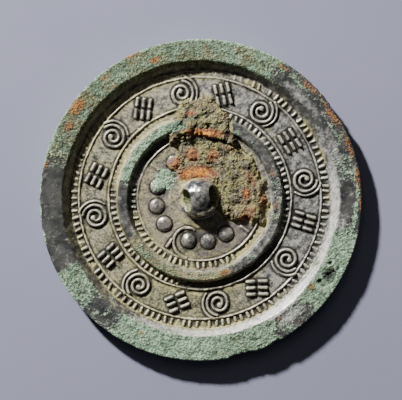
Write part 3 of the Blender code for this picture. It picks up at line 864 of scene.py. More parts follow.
kept = applied(casting, "DECIMATE", {"ratio": TRIANGLES_KEPT / len(triangles)})
cutter = hole_cutter()
pierced = applied(casting, "BOOLEAN", {"object": cutter, "operation": "DIFFERENCE", "solver": "MANIFOLD"})
bpy.data.objects.remove(cutter, do_unlink=True)
print("Triangles after thinning out:", kept, "and with the cord hole:", pierced)

# %% [markdown]
# ## The crust of earth
#
# The crust is crumbly and full of pits, nothing like the metal under it, so it is a skin of its own
# that is laid over the casting. A fine square grid covers the place. Each point stands as high as
# the crust's smooth level plus four sizes of crumbs, less a few pits, and squares where the crust
# would lie well below the metal are left out.

# %% Crumbs laid over the casting
CRUST_GRID = 0.125
CRUST_WIDE, CRUST_HIGH = (-14.0, 19.0), (-15.0, 27.0)
THINNEST = -0.10
CRUST_SUNK = 0.25
# Crumbs: size, height, seed
CRUMBS = ((2.3, 0.50, 59), (1.05, 0.30, 61), (0.55, 0.26, 63), (0.32, 0.18, 65))
# Pits: size, how strong the noise must be for one, seed
CRUST_PITS, CRUST_PIT_DEPTH = ((1.3, 0.42, 67), (2.2, 0.5, 68)), 0.18
# The earth is smooth where it is packed against the knob: angle, radius, length, width, strength
PACKED_SPOTS = [(112, 7.0, 3.0, 1.3, 1.0), (84, 6.8, 3.0, 1.3, 1.0)]


def crust_height(x, y):
    """The crumbly skin of the crust, and how high each point stands among its crumbs."""
    rough = sum(height * (grains(x, y, size, seed) - 0.55) for size, height, seed in CRUMBS)
    rough *= 0.5 + 0.5 * soft_step(smooth_noise(x, y, 3.0, 69), 0.0, 0.35)
    pits = sum(soft_step(-smooth_noise(x, y, size, seed), start, 0.12) for size, start, seed in CRUST_PITS)
    rough = rough - CRUST_PIT_DEPTH * np.clip(pits, 0, 1)
    on_bead = beads(x - DESIGN_OFFSET[0], y - DESIGN_OFFSET[1]) / BEAD_HEIGHT
    rough = rough * (1 - 0.85 * spots(x, y, PACKED_SPOTS)) * (1 - 0.5 * on_bead)
    return crust_level(x - DESIGN_OFFSET[0], y - DESIGN_OFFSET[1]) + rough, rough


columns, lines = np.arange(*CRUST_WIDE, CRUST_GRID), np.arange(*CRUST_HIGH, CRUST_GRID)
grid_x, grid_y = np.meshgrid(columns, lines, indexing="ij")
under = back_height(grid_x, grid_y)
skin, _ = crust_height(grid_x, grid_y)
thick = skin - under
whole = thick > THINNEST
square = whole[:-1, :-1] | whole[1:, :-1] | whole[:-1, 1:] | whole[1:, 1:]
# A square is only kept beside a neighbour in its row and its column, so that none hangs on by a corner
padded = np.pad(square, 1)
square &= (padded[:-2, 1:-1] | padded[2:, 1:-1]) & (padded[1:-1, :-2] | padded[1:-1, 2:])
print("Squares of crust:", int(square.sum()), "thickest", round(float(thick.max()), 2), "mm")

# %% [markdown]
# ## Closing the crust
#
# A sheet alone would gape at its border when seen from the side. So the same squares lie once more
# below, inside the metal and with their corners in the opposite order, and a wall joins the two
# along each side of a square that has no neighbour.

# %% Close the crust's skin
def closed_skin(name, square, x, y, top, bottom):
    """A closed mesh over the squares that are kept, between two height grids."""
    number = np.arange(x.size).reshape(x.shape)
    a, b, c, d = number[:-1, :-1], number[1:, :-1], number[1:, 1:], number[:-1, 1:]
    upper = np.concatenate([
        np.stack([a[square], b[square], c[square]], axis=1),
        np.stack([a[square], c[square], d[square]], axis=1),
    ])
    lower = upper[:, ::-1] + x.size
    walls = []
    padded = np.pad(square, 1)
    below, above = padded[1:-1, :-2], padded[1:-1, 2:]
    left, right = padded[:-2, 1:-1], padded[2:, 1:-1]
    for near, far, beyond in ((a, b, below), (b, c, right), (c, d, above), (d, a, left)):
        border = square & ~beyond
        start, end = near[border], far[border]
        walls.append(np.stack([start + x.size, end + x.size, end], axis=1))
        walls.append(np.stack([start + x.size, end, start], axis=1))
    faces = np.concatenate([upper, lower, *walls])
    both = np.concatenate([np.stack([x.ravel(), y.ravel(), z.ravel()], axis=1) for z in (top, bottom)])
    used, faces = np.unique(faces, return_inverse=True)
    return object_from(name, mesh_from(name, both[used], faces.reshape(-1, 3)))


top = np.maximum(skin, under + THINNEST)
crust = closed_skin("earth_crust", square, grid_x, grid_y, top, np.minimum(top, under) - CRUST_SUNK)
print("The crust has", len(crust.data.polygons), "triangles")

# %% [markdown]
# ## Notes on dust, wear, stains and painted shade
#
# The other patinas only colour the metal, so their notes come here. Dust has settled in the hollows
# towards the bottom. The slope is painted paler where it faces the lamp, a painted highlight, and
# darker where it faces away, painted shade. The green turns from olive to mint going round the rim.
# Iron in the earth has left orange flecks, and painted shadow darkens some grooves, with dark dirt.

# %% Notes that go round the mirror
DUST_AROUND = {0: 0.2, 60: 0.3, 100: 0.6, 160: 0.66, 190: 0.62, 240: 0.8, 290: 0.7, 320: 0.3}
DUST_ON_RIDGE = {
    0: 0.3, 20: 0.2, 30: 0.0, 200: 0.0, 216: 0.8, 240: 0.75, 284: 0.95, 298: 0.2, 336: 0.0,
    344: 0.4,
}
PALE_ON_RIDGE = {
    0: 0.35, 30: 0.05, 60: 0.05, 100: 0.0, 210: 0.0, 240: 0.2, 270: 0.6, 300: 0.25, 330: 0.35,
}
# Positive notes are a painted highlight where the slope faces the lamp, negative ones painted shade where
# it faces away
SLOPE_SHEEN_AND_SHADE = {
    0: 0.7, 15: 0.5, 40: 0.1, 150: -0.4, 180: -0.8, 200: -0.6, 218: -0.35, 240: 0.35, 262: 0.8,
    335: 0.8, 350: 0.75,
}
PALE_IN_FIELD = {0: 0.4, 50: 0.4, 90: 0.45, 130: 0.35, 180: 0.3, 280: 0.25, 315: 0.4}
# Below the knob, from 262 to 285 degrees, the middle is kept dark: painted shade where the knob's shadow
# falls
PALE_IN_MIDDLE = {0: 0.6, 130: 0.3, 180: 0.6, 235: 0.7, 262: 0.1, 285: 0.1, 310: 0.6}
MINT_ON_RIM = {
    30: 0.6, 60: 0.4, 80: 0.2, 100: 0.05, 130: 0.05, 145: -0.4, 160: 0.0, 205: 0.3, 220: 0.8,
    236: 1.5, 266: 1.2, 284: 0.55, 300: 0.85, 320: 0.4, 335: 1.4, 355: 1.4,
}
MINT_ON_RIDGE = {0: 0.5, 100: 1.0, 140: 1.7, 165: 1.7, 205: 0.3, 290: 0.1, 340: 0.4}
print("Dust at the top and at the bottom:", around(np.radians([90, 270]), DUST_AROUND).round(2))

# %% Single spots
RUST_SPOTS = [
    # flecks on the rim and on the raised ring
    (108.5, 36.6, 1.5, 0.8, 1.0), (128.5, 38.6, 1.0, 0.7, 0.8), (127, 35.2, 0.9, 0.4, 0.7),
    (143, 38.2, 2.6, 1.3, 1.0), (151, 37.4, 2.0, 1.2, 0.8), (167, 39.3, 1.6, 0.5, 0.8),
    (116, 39.7, 2.4, 0.4, 0.8), (98, 39.3, 1.5, 0.5, 0.5), (58, 38.8, 2.0, 0.7, 0.8),
    (46, 38.9, 3.2, 1.1, 0.85), (33, 38.8, 3.6, 1.1, 0.9), (20, 39.0, 3.4, 0.9, 0.9),
    (8, 39.4, 3.2, 0.55, 1.0), (358, 39.6, 3.0, 0.4, 0.9), (245.5, 36.1, 0.9, 0.6, 0.9),
    (240, 37.6, 0.8, 0.5, 0.6), (304, 35.2, 0.6, 0.5, 0.9), (309, 39.0, 0.6, 0.4, 0.9),
    (322, 34.8, 0.8, 0.7, 1.0), (332, 36.7, 0.7, 0.5, 0.7), (288, 18.9, 1.8, 0.7, 0.9),
    (356, 18.8, 1.6, 0.6, 0.9), (20, 19.0, 1.2, 0.7, 0.8), (178, 23.6, 0.5, 0.4, 0.7),
    (216, 16.4, 1.4, 0.5, 0.55), (205, 16.6, 0.9, 0.4, 0.5), (50, 39.6, 6.0, 0.3, 0.5),
    (28, 39.7, 7.0, 0.3, 0.6),
    # bright earth by the knob and under the lump, and beads that the crust has reached
    (116, 7.3, 2.6, 1.3, 1.3), (90, 6.9, 2.8, 1.4, 1.5), (66, 7.2, 1.6, 1.0, 0.7),
    (86, 16.6, 4.6, 1.0, 1.3), (126, 11.3, 1.7, 1.7, 1.0), (101, 11.3, 1.7, 1.7, 1.0),
    (75, 11.4, 1.4, 1.6, 0.9), (8, 11.5, 1.3, 1.0, 1.2), (97, 21.6, 1.2, 0.6, 0.9),
    (337, 11.7, 1.7, 1.2, 0.9), (359, 15.5, 1.7, 0.8, 0.9), (350, 13.3, 1.1, 1.1, 0.6),
    (24, 13.6, 3.4, 1.6, 0.55), (342, 12.0, 3.2, 2.4, 0.58), (60, 14.6, 3.0, 1.0, 0.45),
]
BLACK_PITS_AND_SHADOWS = [
    # pits and cracks; the spot at 86 degrees and 15.1 mm is painted shadow under the overhanging lump
    (330, 36.9, 1.5, 1.3, 1.4), (325.5, 35.9, 0.6, 0.6, 0.9), (333.5, 38.0, 0.6, 0.5, 0.9),
    (334, 35.7, 0.6, 0.5, 0.8), (286, 38.8, 2.6, 0.25, 0.8), (292, 38.9, 2.6, 0.25, 0.9),
    (299, 38.6, 1.6, 0.25, 0.7), (29, 30.9, 0.8, 0.8, 1.0), (290, 1.4, 1.5, 0.8, 0.7),
    (335, 2.6, 1.4, 0.9, 0.8), (158, 36.8, 2.6, 1.2, 0.6), (352, 19.0, 1.4, 0.8, 0.7),
    (20, 38.6, 2.0, 0.6, 0.5), (38, 38.2, 2.4, 0.6, 0.5), (110, 17.6, 1.8, 0.7, 0.8),
    (68, 17.4, 1.8, 0.8, 0.9), (88, 19.4, 1.6, 0.5, 0.6), (86, 15.1, 4.2, 0.45, 1.0),
    # painted shadow that the rim and the raised ring throw over the teeth and the seat line, with dark
    # dirt; the spot at 268 degrees and 8.6 mm is painted shade of the knob's shadow
    (268, 21.3, 4.0, 0.8, 1.3), (284, 21.3, 4.5, 0.8, 1.4), (300, 21.3, 4.5, 0.8, 1.4),
    (316, 21.3, 4.5, 0.8, 1.4), (331, 21.3, 3.0, 0.6, 0.7), (125, 16.9, 2.5, 0.7, 1.1),
    (139, 16.9, 2.5, 0.7, 1.1), (152, 17.0, 2.0, 0.5, 0.8), (80, 31.7, 3.5, 0.6, 0.6),
    (95, 31.7, 4.0, 0.6, 0.65), (110, 31.7, 4.0, 0.6, 0.6), (268, 8.6, 3.4, 2.2, 0.6),
]
DUST_SPOTS = [
    (318, 16.2, 6.5, 1.0, 1.3), (294, 16.2, 4.0, 1.0, 1.2), (338, 16.4, 4.0, 0.8, 1.1),
    (66, 31.3, 3.0, 1.0, 1.2), (50, 31.4, 3.0, 1.0, 1.1), (33, 31.7, 3.4, 1.0, 1.2),
    (20, 31.9, 2.6, 0.8, 1.1), (2, 31.6, 3.0, 0.8, 0.8), (140, 31.2, 4.0, 0.8, 0.8),
    (196, 31.2, 3.5, 0.7, 1.0), (210, 31.3, 4.0, 0.8, 1.1), (226, 31.4, 4.0, 0.8, 1.0),
    (242, 31.6, 4.0, 0.8, 1.1), (256, 31.9, 4.0, 0.8, 0.9), (270, 32.0, 4.0, 0.7, 0.8),
    (284, 32.0, 3.0, 0.6, 0.7), (238, 21.6, 7.0, 0.9, 0.9), (200, 21.6, 5.0, 0.8, 1.0),
    (40, 24.5, 1.6, 1.2, 0.6), (120, 22.2, 6.0, 1.2, 0.9), (92, 24.4, 3.0, 1.2, 0.7),
    (150, 22.0, 4.0, 1.0, 1.0), (265, 27.6, 4.0, 1.2, 0.7), (222, 16.2, 5.0, 1.2, 1.3),
    (250, 16.2, 5.0, 1.2, 1.3), (200, 16.2, 3.0, 1.0, 1.1), (274, 16.2, 4.0, 1.0, 1.2),
    (345, 17.0, 3.0, 0.6, 0.9), (48, 24.6, 2.0, 0.8, 0.8),
]
PALE_SPOTS = [
    (340, 15.8, 5.0, 1.3, 0.9), (8, 15.8, 5.0, 1.2, 0.8), (38, 15.8, 5.0, 1.2, 0.8),
    (150, 13.5, 5.0, 2.0, 0.6), (226, 16.7, 5.0, 0.9, 1.0), (250, 16.7, 5.0, 0.9, 0.8),
    (308, 36.4, 3.5, 1.0, 0.9), (348, 35.6, 3.0, 1.2, 0.7), (341, 35.4, 3.0, 0.9, 0.7),
    (20, 35.4, 4.0, 1.0, 0.5), (45, 35.6, 5.0, 1.0, 0.5),
]
print("Spots noted:", sum(map(len, (RUST_SPOTS, BLACK_PITS_AND_SHADOWS, DUST_SPOTS, PALE_SPOTS))))

# %% [markdown]
# ## What each vertex knows
#
# A shader can make noise of its own, but it can't know where a spiral's crest is or how far round
# the rim it stands. So the meshes carry that as numbers on their vertices, one attribute for each
# patina and for the painted shade and sheen, and the shader only breaks up their soft edges.

# %% What both pieces note
# Heights over about this one are on the decorated back
BACK_HEIGHT, BACK_SOFTNESS = 1.2, 0.5
CRUMB_RANGE = 0.7


def set_attribute(mesh, name, values):
    made = mesh.attributes.new(name, "FLOAT", "POINT")
    made.data.foreach_set("value", values.astype(np.float32))


def vertex_places(mesh):
    flat = np.empty(len(mesh.vertices) * 3, np.float32)
    mesh.vertices.foreach_get("co", flat)
    return flat.reshape(-1, 3).astype(float).T / MM


def note_patina_and_shade(mesh):
    """Writes the attributes that both pieces share, and returns the vertices' places."""
    x, y, z = vertex_places(mesh)
    on_back = soft_step(z, BACK_HEIGHT, BACK_SOFTNESS)
    set_attribute(mesh, "green", greenness(x, y) * on_back)
    set_attribute(mesh, "rust", spots(x, y, RUST_SPOTS) * on_back)
    set_attribute(mesh, "pits_and_shade", spots(x, y, BLACK_PITS_AND_SHADOWS) * on_back)
    return x, y, z


x, y, z = note_patina_and_shade(crust.data)
rough = crust_height(x, y)[1]
set_attribute(crust.data, "crumb", np.clip(0.5 + rough / CRUMB_RANGE, 0, 1))
print("On the crust:", [layer.name for layer in crust.data.attributes if layer.data_type == "FLOAT"])

# %% Where each vertex of the casting lies
HOLE_DEPTH = 0.12

x, y, z = note_patina_and_shade(casting.data)
design_x, design_y = x - DESIGN_OFFSET[0], y - DESIGN_OFFSET[1]
radius, angle = np.hypot(x, y), np.arctan2(y, x)
on_back = soft_step(z, BACK_HEIGHT, BACK_SOFTNESS)
in_hole = (z < back_height(x, y) - HOLE_DEPTH) & (radius < KNOB_RADIUS + 2)
on_slope = soft_step(radius, slope_foot + 0.1, 0.3) * soft_step(-radius, -rim_inner - 0.3, 0.3)
on_ridge = soft_step(radius, ridge_in + 0.2, 0.3) * soft_step(-radius, -ridge_out + 0.2, 0.3)
in_field = soft_step(-radius, -slope_foot, 0.3) * (1 - on_ridge)
near_knob = soft_step(-radius, -KNOB_RADIUS, 0.2)
in_middle = soft_step(-radius, -ridge_in, 0.4)
on_bead = soft_step(beads(design_x, design_y), 0.25, 0.2)
print("Vertices inside the cord hole:", int(in_hole.sum()))

# %% Dust and loose earth
# Loose earth lies where the crust's smooth level is less than this far below the field
LOOSE_EARTH = 0.45
HOLE_DUST = 2.0
# Dust gathers where the field meets a ring
DUSTY_RINGS = (
    KNOB_RADIUS + 1.5, seat_line_out - 1.2, ridge_out, inner_line_out, outer_line_out, slope_foot,
)

gathered = sum(np.exp(-((radius - ring) ** 2)) for ring in DUSTY_RINGS)
in_hollows = in_field * (1 - 0.3 * in_middle) * (0.8 + 0.5 * gathered)
dust = around(angle, DUST_AROUND) * (in_hollows + 0.5 * on_slope)
dust = np.maximum(dust, spots(x, y, DUST_SPOTS)) * (1 - near_knob)
dust = np.maximum(dust, around(angle, DUST_ON_RIDGE) * on_ridge)
beside_crust = crust_level(design_x, design_y) - FIELD_THICKNESS + LOOSE_EARTH
dust = np.maximum(dust, soft_step(beside_crust, 0.25, 0.25) * (1 - near_knob))
set_attribute(casting.data, "dust", np.where(in_hole, HOLE_DUST, dust) * on_back)
print("Dusty share of the vertices:", round(float((dust > 0.5).mean()), 2))

# %% Pale metal, tints and polish
pale_in_field = blend(around(angle, PALE_IN_FIELD), around(angle, PALE_IN_MIDDLE), in_middle)
# On the slope, pale is painted highlight and painted shade; its dip in the middle below the knob is painted
# shade
pale = around(angle, SLOPE_SHEEN_AND_SHADE) * on_slope + pale_in_field * in_field
pale += around(angle, PALE_ON_RIDGE) * on_ridge
pale = np.maximum(pale, spots(x, y, PALE_SPOTS))
print("Pale share of the vertices:", round(float((pale > 0.5).mean()), 2))
set_attribute(casting.data, "pale", np.where(in_hole, 0.0, pale) * on_back)
set_attribute(casting.data, "mauve", in_middle)
set_attribute(casting.data, "rim", soft_step(radius, rim_inner - 0.2, 0.4))
mint = blend(around(angle, MINT_ON_RIM), around(angle, MINT_ON_RIDGE), radius < rim_inner - 1)
# All round the outer edge the green is made mint: a painted glint of the bevel over the green there
set_attribute(casting.data, "mint", mint + 0.9 * soft_step(radius, MIRROR_RADIUS - 0.5, 0.3))
polish = np.where(in_hole, 0.0, np.maximum(near_knob, 0.45 * on_bead))
set_attribute(casting.data, "polish", polish * on_back)
set_attribute(casting.data, "worn", np.where(z < 0.2, 1.0, 0.0))

# %% [markdown]
# ## Crests and grooves
#
# The crests are painted brighter, partly rubbed metal and partly a painted highlight, and the grooves
# beside them darker, partly dirt and partly painted shade. A crest is a place that is higher than the
# places round it, so the pattern is looked up again at sixteen points on two small circles, and their
# mean is taken off. Beside a line the result is negative, which tells the shader where the painted
# shade and the dirt lie.

# %% Crests and the grooves beside them
NEARBY_RADII, NEARBY_TURNS, FULL_CREST = (0.45, 0.8), 8, 0.25


def crestness(x, y):
    """Positive on the pattern's crests, negative close beside them."""
    nearby = sum(
        pattern(x + reach * math.cos(turn), y + reach * math.sin(turn))
        for reach in NEARBY_RADII
        for turn in np.linspace(0, math.tau, NEARBY_TURNS, endpoint=False)
    )
    return pattern(x, y) - nearby / (len(NEARBY_RADII) * NEARBY_TURNS)


set_attribute(casting.data, "crest", np.clip(crestness(design_x, design_y) / FULL_CREST, -1, 1) * on_back)
print("On the casting:", [layer.name for layer in casting.data.attributes if layer.data_type == "FLOAT"])

# %% [markdown]
# ## Writing materials as sums
#
# A material is a tree of nodes, and a tree of arithmetic is easiest to read as arithmetic. The
# class below wraps an output socket, so that `1 - mask * 0.5` adds the Math nodes by itself. Every
# other node comes from one method that takes its type, its settings, and what goes into its sockets.

# %% A socket that can be reckoned with
class Value:
    """A number that changes over the surface: an output socket of a material's node tree."""

    def __init__(self, finish, socket):
        self.finish, self.socket = finish, socket

    def maths(self, operation, *values):
        return self.finish.node("ShaderNodeMath", {"operation": operation}, dict(enumerate(values)))

    def __add__(self, other):
        return self.maths("ADD", self, other)

    def __sub__(self, other):
        return self.maths("SUBTRACT", self, other)

    def __rsub__(self, other):
        return self.maths("SUBTRACT", other, self)

    def __mul__(self, other):
        return self.maths("MULTIPLY", self, other)

    __radd__, __rmul__ = __add__, __mul__

    def held(self):
        """The same number, held between 0 and 1."""
        return self.finish.node("ShaderNodeClamp", {}, {"Value": self})

    def over(self, start, end):
        """Goes smoothly from 0 to 1 as this number goes from start to end."""
        return self.finish.node(
            "ShaderNodeMapRange",
            {"interpolation_type": "SMOOTHSTEP"},
            {"Value": self, "From Min": start, "From Max": end},
        )


def pigment(red, green, blue):
    """A colour as it is picked from a screen, turned into the linear light that shaders want."""
    parts = [part / 255 for part in (red, green, blue)]
    return (*[part / 12.92 if part < 0.04 else ((part + 0.055) / 1.055) ** 2.4 for part in parts], 1)


def found(sockets, key):
    """The socket at this position, or the first one in use with this identifier or name."""
    if isinstance(key, int):
        return sockets[key]
    in_use = [socket for socket in sockets if socket.enabled]
    return next(socket for socket in in_use if key in (socket.identifier, socket.name))


class Finish:
    """A material under construction, with one method that adds any node."""

    def __init__(self, name):
        self.material = bpy.data.materials.new(name)
        self.material.use_nodes = True
        self.tree = self.material.node_tree
        self.shader = self.tree.nodes["Principled BSDF"]
        self.place = self.node("ShaderNodeTexCoord", {}, {}, "Object")

    def connect(self, node, sockets):
        """Fills a node's sockets with numbers, colours or links."""
        for key, value in sockets.items():
            socket = found(node.inputs, key)
            if isinstance(value, Value):
                self.tree.links.new(value.socket, socket)
            else:
                socket.default_value = value

    def node(self, kind, settings, sockets, output=0):
        made = self.tree.nodes.new(kind)
        for name, value in settings.items():
            setattr(made, name, value)
        self.connect(made, sockets)
        return Value(self, found(made.outputs, output))

    def attribute(self, name):
        return self.node("ShaderNodeAttribute", {"attribute_name": name}, {}, "Fac")

    def noise(self, size, detail=2.0):
        """Noise from 0 to 1 whose bumps are about size millimetres across."""
        sockets = {"Vector": self.place, "Scale": 1 / (size * MM), "Detail": detail, "Roughness": 0.6}
        return self.node("ShaderNodeTexNoise", {}, sockets, "Fac")

    def streaks(self, size, length, bearing):
        """Noise from 0 to 1, drawn out along a bearing to this length in millimetres."""
        stretch = {"Vector": self.place, "Rotation": (0, 0, bearing), "Scale": (length / size, 1, 1)}
        place = self.node("ShaderNodeMapping", {"vector_type": "TEXTURE"}, stretch)
        sockets = {"Vector": place, "Scale": 1 / (size * MM), "Detail": 3.0}
        return self.node("ShaderNodeTexNoise", {}, sockets, "Fac")

    def crumbs(self, size):
        """Distance to the nearest crumb's middle, 0 on it and up to about 1 between crumbs."""
        sockets = {"Vector": self.place, "Scale": 1 / (size * MM)}
        return self.node("ShaderNodeTexVoronoi", {}, sockets, "Distance")

    def mix(self, share, first, second):
        """A colour between two colours."""
        sockets = {"Factor_Float": share, "A_Color": first, "B_Color": second}
        return self.node("ShaderNodeMix", {"data_type": "RGBA"}, sockets, "Result_Color")

    def coats(self, colour, *coats):
        """Lays coats over a colour, each given by its mask and its own colour."""
        for share, coat in coats:
            colour = self.mix(share, colour, coat)
        return colour

    def bump(self, height, depth):
        """A normal for a relief of this height, at most depth millimetres deep."""
        sockets = {"Height": height, "Distance": depth * MM, "Strength": 1.0}
        return self.node("ShaderNodeBump", {}, sockets)

    def surface(self, **sockets):
        self.connect(self.shader, {name.replace("_", " "): value for name, value in sockets.items()})
        print(self.material.name, "has", len(self.tree.nodes), "nodes")
        return self.material

# %% [markdown]
# ## Patinated bronze
#
# The metal shows through only as a smooth grey-brown skin, a little shiny. Over it lie, in this
# order, pale metal with a painted highlight and painted shade on the slope, dark streaks, the knob's
# polish, olive and yellow dust, crests rubbed bright with a painted highlight, and the dirt and painted
# shade beside them. Granular malachite covers all that, and orange iron earth, black pits and painted
# shadows come last. Each coat is a colour mixed in by a mask, and each mask is a vertex attribute whose
# soft edge is broken up by noise. Rough coats also raise the roughness and the bump, so the green looks
# powdery beside the grey.

# %% Colours of the metal and of what lies on it
DARK_METAL, GREY_METAL, CLOUDED_METAL = pigment(60, 62, 61), pigment(92, 91, 87), pigment(138, 136, 128)
PALE_METAL, WARM_METAL, MAUVE_METAL = pigment(226, 224, 216), pigment(176, 166, 148), pigment(122, 110, 112)
METAL_STREAK, METAL_GRAIN = pigment(54, 52, 50), pigment(38, 38, 34)
KNOB_DARK, KNOB_BRIGHT = pigment(92, 96, 104), pigment(200, 197, 184)
OLIVE_DUST, PALE_DUST = pigment(144, 134, 86), pigment(192, 184, 128)
YELLOW_DUST, PALE_YELLOW_DUST = pigment(152, 144, 92), pigment(218, 212, 146)
HOLE_DIRT, HOLE_EARTH = pigment(50, 52, 38), pigment(124, 130, 88)
# Crests: rubbed metal with a painted highlight; grooves beside them: dirt with painted shade
RUBBED_CREST_AND_HIGHLIGHT, GROOVE_DIRT_AND_SHADE = pigment(212, 206, 182), pigment(34, 32, 27)
print("Dark metal in linear light:", [round(part, 3) for part in DARK_METAL])

# %% Bare metal with its dust and dirt, and painted highlight and shade
def bare_metal(finish, broad, patchy, fine, grain, streak, cloudy, dusty):
    crest, dust, pale = finish.attribute("crest"), finish.attribute("dust"), finish.attribute("pale")
    mauve, rim, polish = finish.attribute("mauve"), finish.attribute("rim"), finish.attribute("polish")
    knob_patches = (patchy * 0.6 + fine * 0.4).over(0.40, 0.58)
    rubbed_and_highlit = crest.over(0.05, 0.8) * (1 - polish) * (0.3 + 0.7 * patchy.over(0.38, 0.60))
    return finish.coats(
        finish.mix(broad.over(0.36, 0.64), DARK_METAL, GREY_METAL),
        ((patchy - rim * 0.12).over(0.42, 0.74) * 0.8, CLOUDED_METAL),
        # On the slope this coat is a painted highlight, and its negative notes there leave painted shade
        ((pale + cloudy).over(0.05, 0.95), finish.mix(mauve, PALE_METAL, WARM_METAL)),
        (streak.over(0.48, 0.64) * (pale * 0.3 + 0.25).held(), METAL_STREAK),
        (mauve * broad.over(0.46, 0.60) * 0.5, MAUVE_METAL),
        (polish * 0.9, finish.mix(knob_patches, KNOB_DARK, KNOB_BRIGHT)),
        (dusty * 0.75, finish.mix(fine.over(0.35, 0.65), OLIVE_DUST, PALE_DUST)),
        (
            (dust + cloudy * 0.9).over(0.75, 1.15) * 0.85,
            finish.mix(fine.over(0.35, 0.60), YELLOW_DUST, PALE_YELLOW_DUST),
        ),
        (dust.over(1.4, 1.7), finish.mix(fine.over(0.38, 0.60), HOLE_DIRT, HOLE_EARTH)),
        # Painted highlight on the crests and painted shade in the grooves beside them, over rubbed metal
        # and dirt
        (rubbed_and_highlit * 0.8, RUBBED_CREST_AND_HIGHLIGHT),
        ((0 - crest).over(0.02, 0.38) * 0.95, GROOVE_DIRT_AND_SHADE),
        (grain.over(0.58, 0.72) * 0.35, METAL_GRAIN),
    )

# %% [markdown]
# ## Malachite
#
# Copper in the bronze turns into malachite where the ground is damp. That is a crust of fine green
# grains, dull and olive where it is thin or dirty and mint where it is clean. It is built up like the
# metal, coat over coat, and the attribute mint says how far a place has gone from one to the other.

# %% Malachite
DULL_OLIVE, DULL_GREEN, MALACHITE = pigment(118, 114, 74), pigment(92, 112, 88), pigment(122, 156, 126)
PALE_MINT, MINT_FLECK = pigment(174, 204, 168), pigment(206, 224, 186)
BROWN_GREEN, DEEP_GREEN = pigment(98, 96, 62), pigment(56, 64, 46)
GREEN_STREAK, GREEN_GRAIN = pigment(66, 78, 60), pigment(38, 44, 34)


def malachite(finish, broad, patchy, fine, grain, streak, speckle):
    mint = finish.attribute("mint")
    return finish.coats(
        finish.mix(broad.over(0.40, 0.60), DULL_OLIVE, DULL_GREEN),
        ((mint + (broad - 0.5) * 2.0 + (streak - 0.5)).over(-0.1, 0.8), MALACHITE),
        (patchy.over(0.38, 0.66) * (mint * 0.6 + 0.2), PALE_MINT),
        ((1 - patchy).over(0.50, 0.64) * (1 - mint * 0.6) * 0.55, BROWN_GREEN),
        (speckle.over(0.45, 0.80) * 0.6, DEEP_GREEN),
        (fine.over(0.54, 0.66) * (0.65 + mint * 0.2), MINT_FLECK),
        (streak.over(0.56, 0.68) * 0.5, GREEN_STREAK),
        (grain.over(0.53, 0.63) * (0.85 - mint * 0.3).held(), GREEN_GRAIN),
    )

# %% [markdown]
# ## One material from all the coats
#
# Metal and malachite meet within one material, because one casting has one skin and its patches
# have no sharp borders. Nearly every mask is a vertex attribute with noise added before it is cut
# off, which gives each patch a ragged edge. The same masks then say how rough, how metallic and
# how uneven a place is.

# %% Bronze
STREAK_BEARING = math.radians(48)
DARK_RUST, PALE_RUST, RUST_GRAIN = pigment(116, 72, 38), pigment(196, 130, 66), pigment(72, 56, 36)
BLACK_PIT_AND_SHADOW, WORN_FACE = pigment(26, 28, 24), pigment(110, 104, 88)


def bronze():
    finish = Finish("patinated_bronze")
    broad, patchy, fine = finish.noise(4.5), finish.noise(1.6, 3), finish.noise(0.5, 3)
    grain, speckle = finish.noise(0.28, 2), finish.crumbs(0.6)
    streak = finish.streaks(0.45, 3.5, STREAK_BEARING)
    polish = finish.attribute("polish")
    cloudy = (patchy - 0.5) * 1.1 + (fine - 0.5) * 0.9

    green = (finish.attribute("green") + cloudy).over(0.40, 0.62)
    rust = (finish.attribute("rust") + (patchy - 0.5) * 0.9 + (fine - 0.5) * 2.0).over(0.46, 0.78)
    pits_and_shade = (finish.attribute("pits_and_shade") + cloudy).over(0.45, 0.65)
    dusty = finish.attribute("dust") * 1.15 + cloudy - finish.attribute("crest") * 0.30 - polish * 0.9
    dusty = dusty.over(0.25, 1.0)

    iron_earth = finish.mix(fine.over(0.42, 0.62), DARK_RUST, PALE_RUST)
    iron_earth = finish.mix(grain.over(0.50, 0.62) * 0.75, iron_earth, RUST_GRAIN)
    colour = finish.coats(
        bare_metal(finish, broad, patchy, fine, grain, streak, cloudy, dusty),
        (green, malachite(finish, broad, patchy, fine, grain, streak, speckle)),
        (rust * 0.85, iron_earth),
        # Black pits, and painted shadows of the rim, the raised ring, the knob and the lump
        (pits_and_shade * 0.85, BLACK_PIT_AND_SHADOW),
        (finish.attribute("worn") * 0.6, WORN_FACE),
    )
    rough = 0.44 + dusty * 0.2 + green * 0.35 + rust * 0.3 + (fine - 0.5) * 0.25 - polish * 0.24
    relief = fine * (0.35 + green * 1.2 + rust * 0.8) + (1 - speckle) * green * 0.9 + patchy * 0.3
    relief = (relief + grain * (0.15 + green * 0.4)) * (1 - polish * 0.7)
    return finish.surface(
        Base_Color=colour,
        Roughness=rough.held(),
        Metallic=(0.35 - green * 0.35 - dusty * 0.3 - rust * 0.35 + polish * 0.35).held(),
        Normal=finish.bump(relief, 0.20),
    )


casting.data.materials.append(bronze())

# %% [markdown]
# ## Earth
#
# The crust is dull all over: sandy tan on its crumbs, with painted shade darkening the low places
# between them, stained orange by iron in some places and blue-green by copper in others. Its black
# marks are cracks and the painted shadow under the overhanging lump.

# %% Colours of the earth
OLIVE_EARTH, BROWN_EARTH, GREY_EARTH = pigment(130, 126, 78), pigment(112, 96, 72), pigment(92, 90, 78)
SHADED_EARTH, SANDY_EARTH, PALE_SAND = pigment(92, 92, 68), pigment(160, 148, 90), pigment(190, 182, 134)
DARK_EARTH, PAINTED_PIT_SHADE, BLACK_EARTH_AND_SHADOW = pigment(60, 46, 30), pigment(38, 32, 22), pigment(40, 38, 32)
COPPER_STAIN = pigment(104, 142, 122)
RUSTY_EARTH, RED_EARTH, BURNT_EARTH = pigment(146, 92, 50), pigment(140, 84, 64), pigment(98, 58, 28)
BRIGHT_EARTH, PALE_ORANGE = pigment(238, 150, 48), pigment(234, 180, 104)

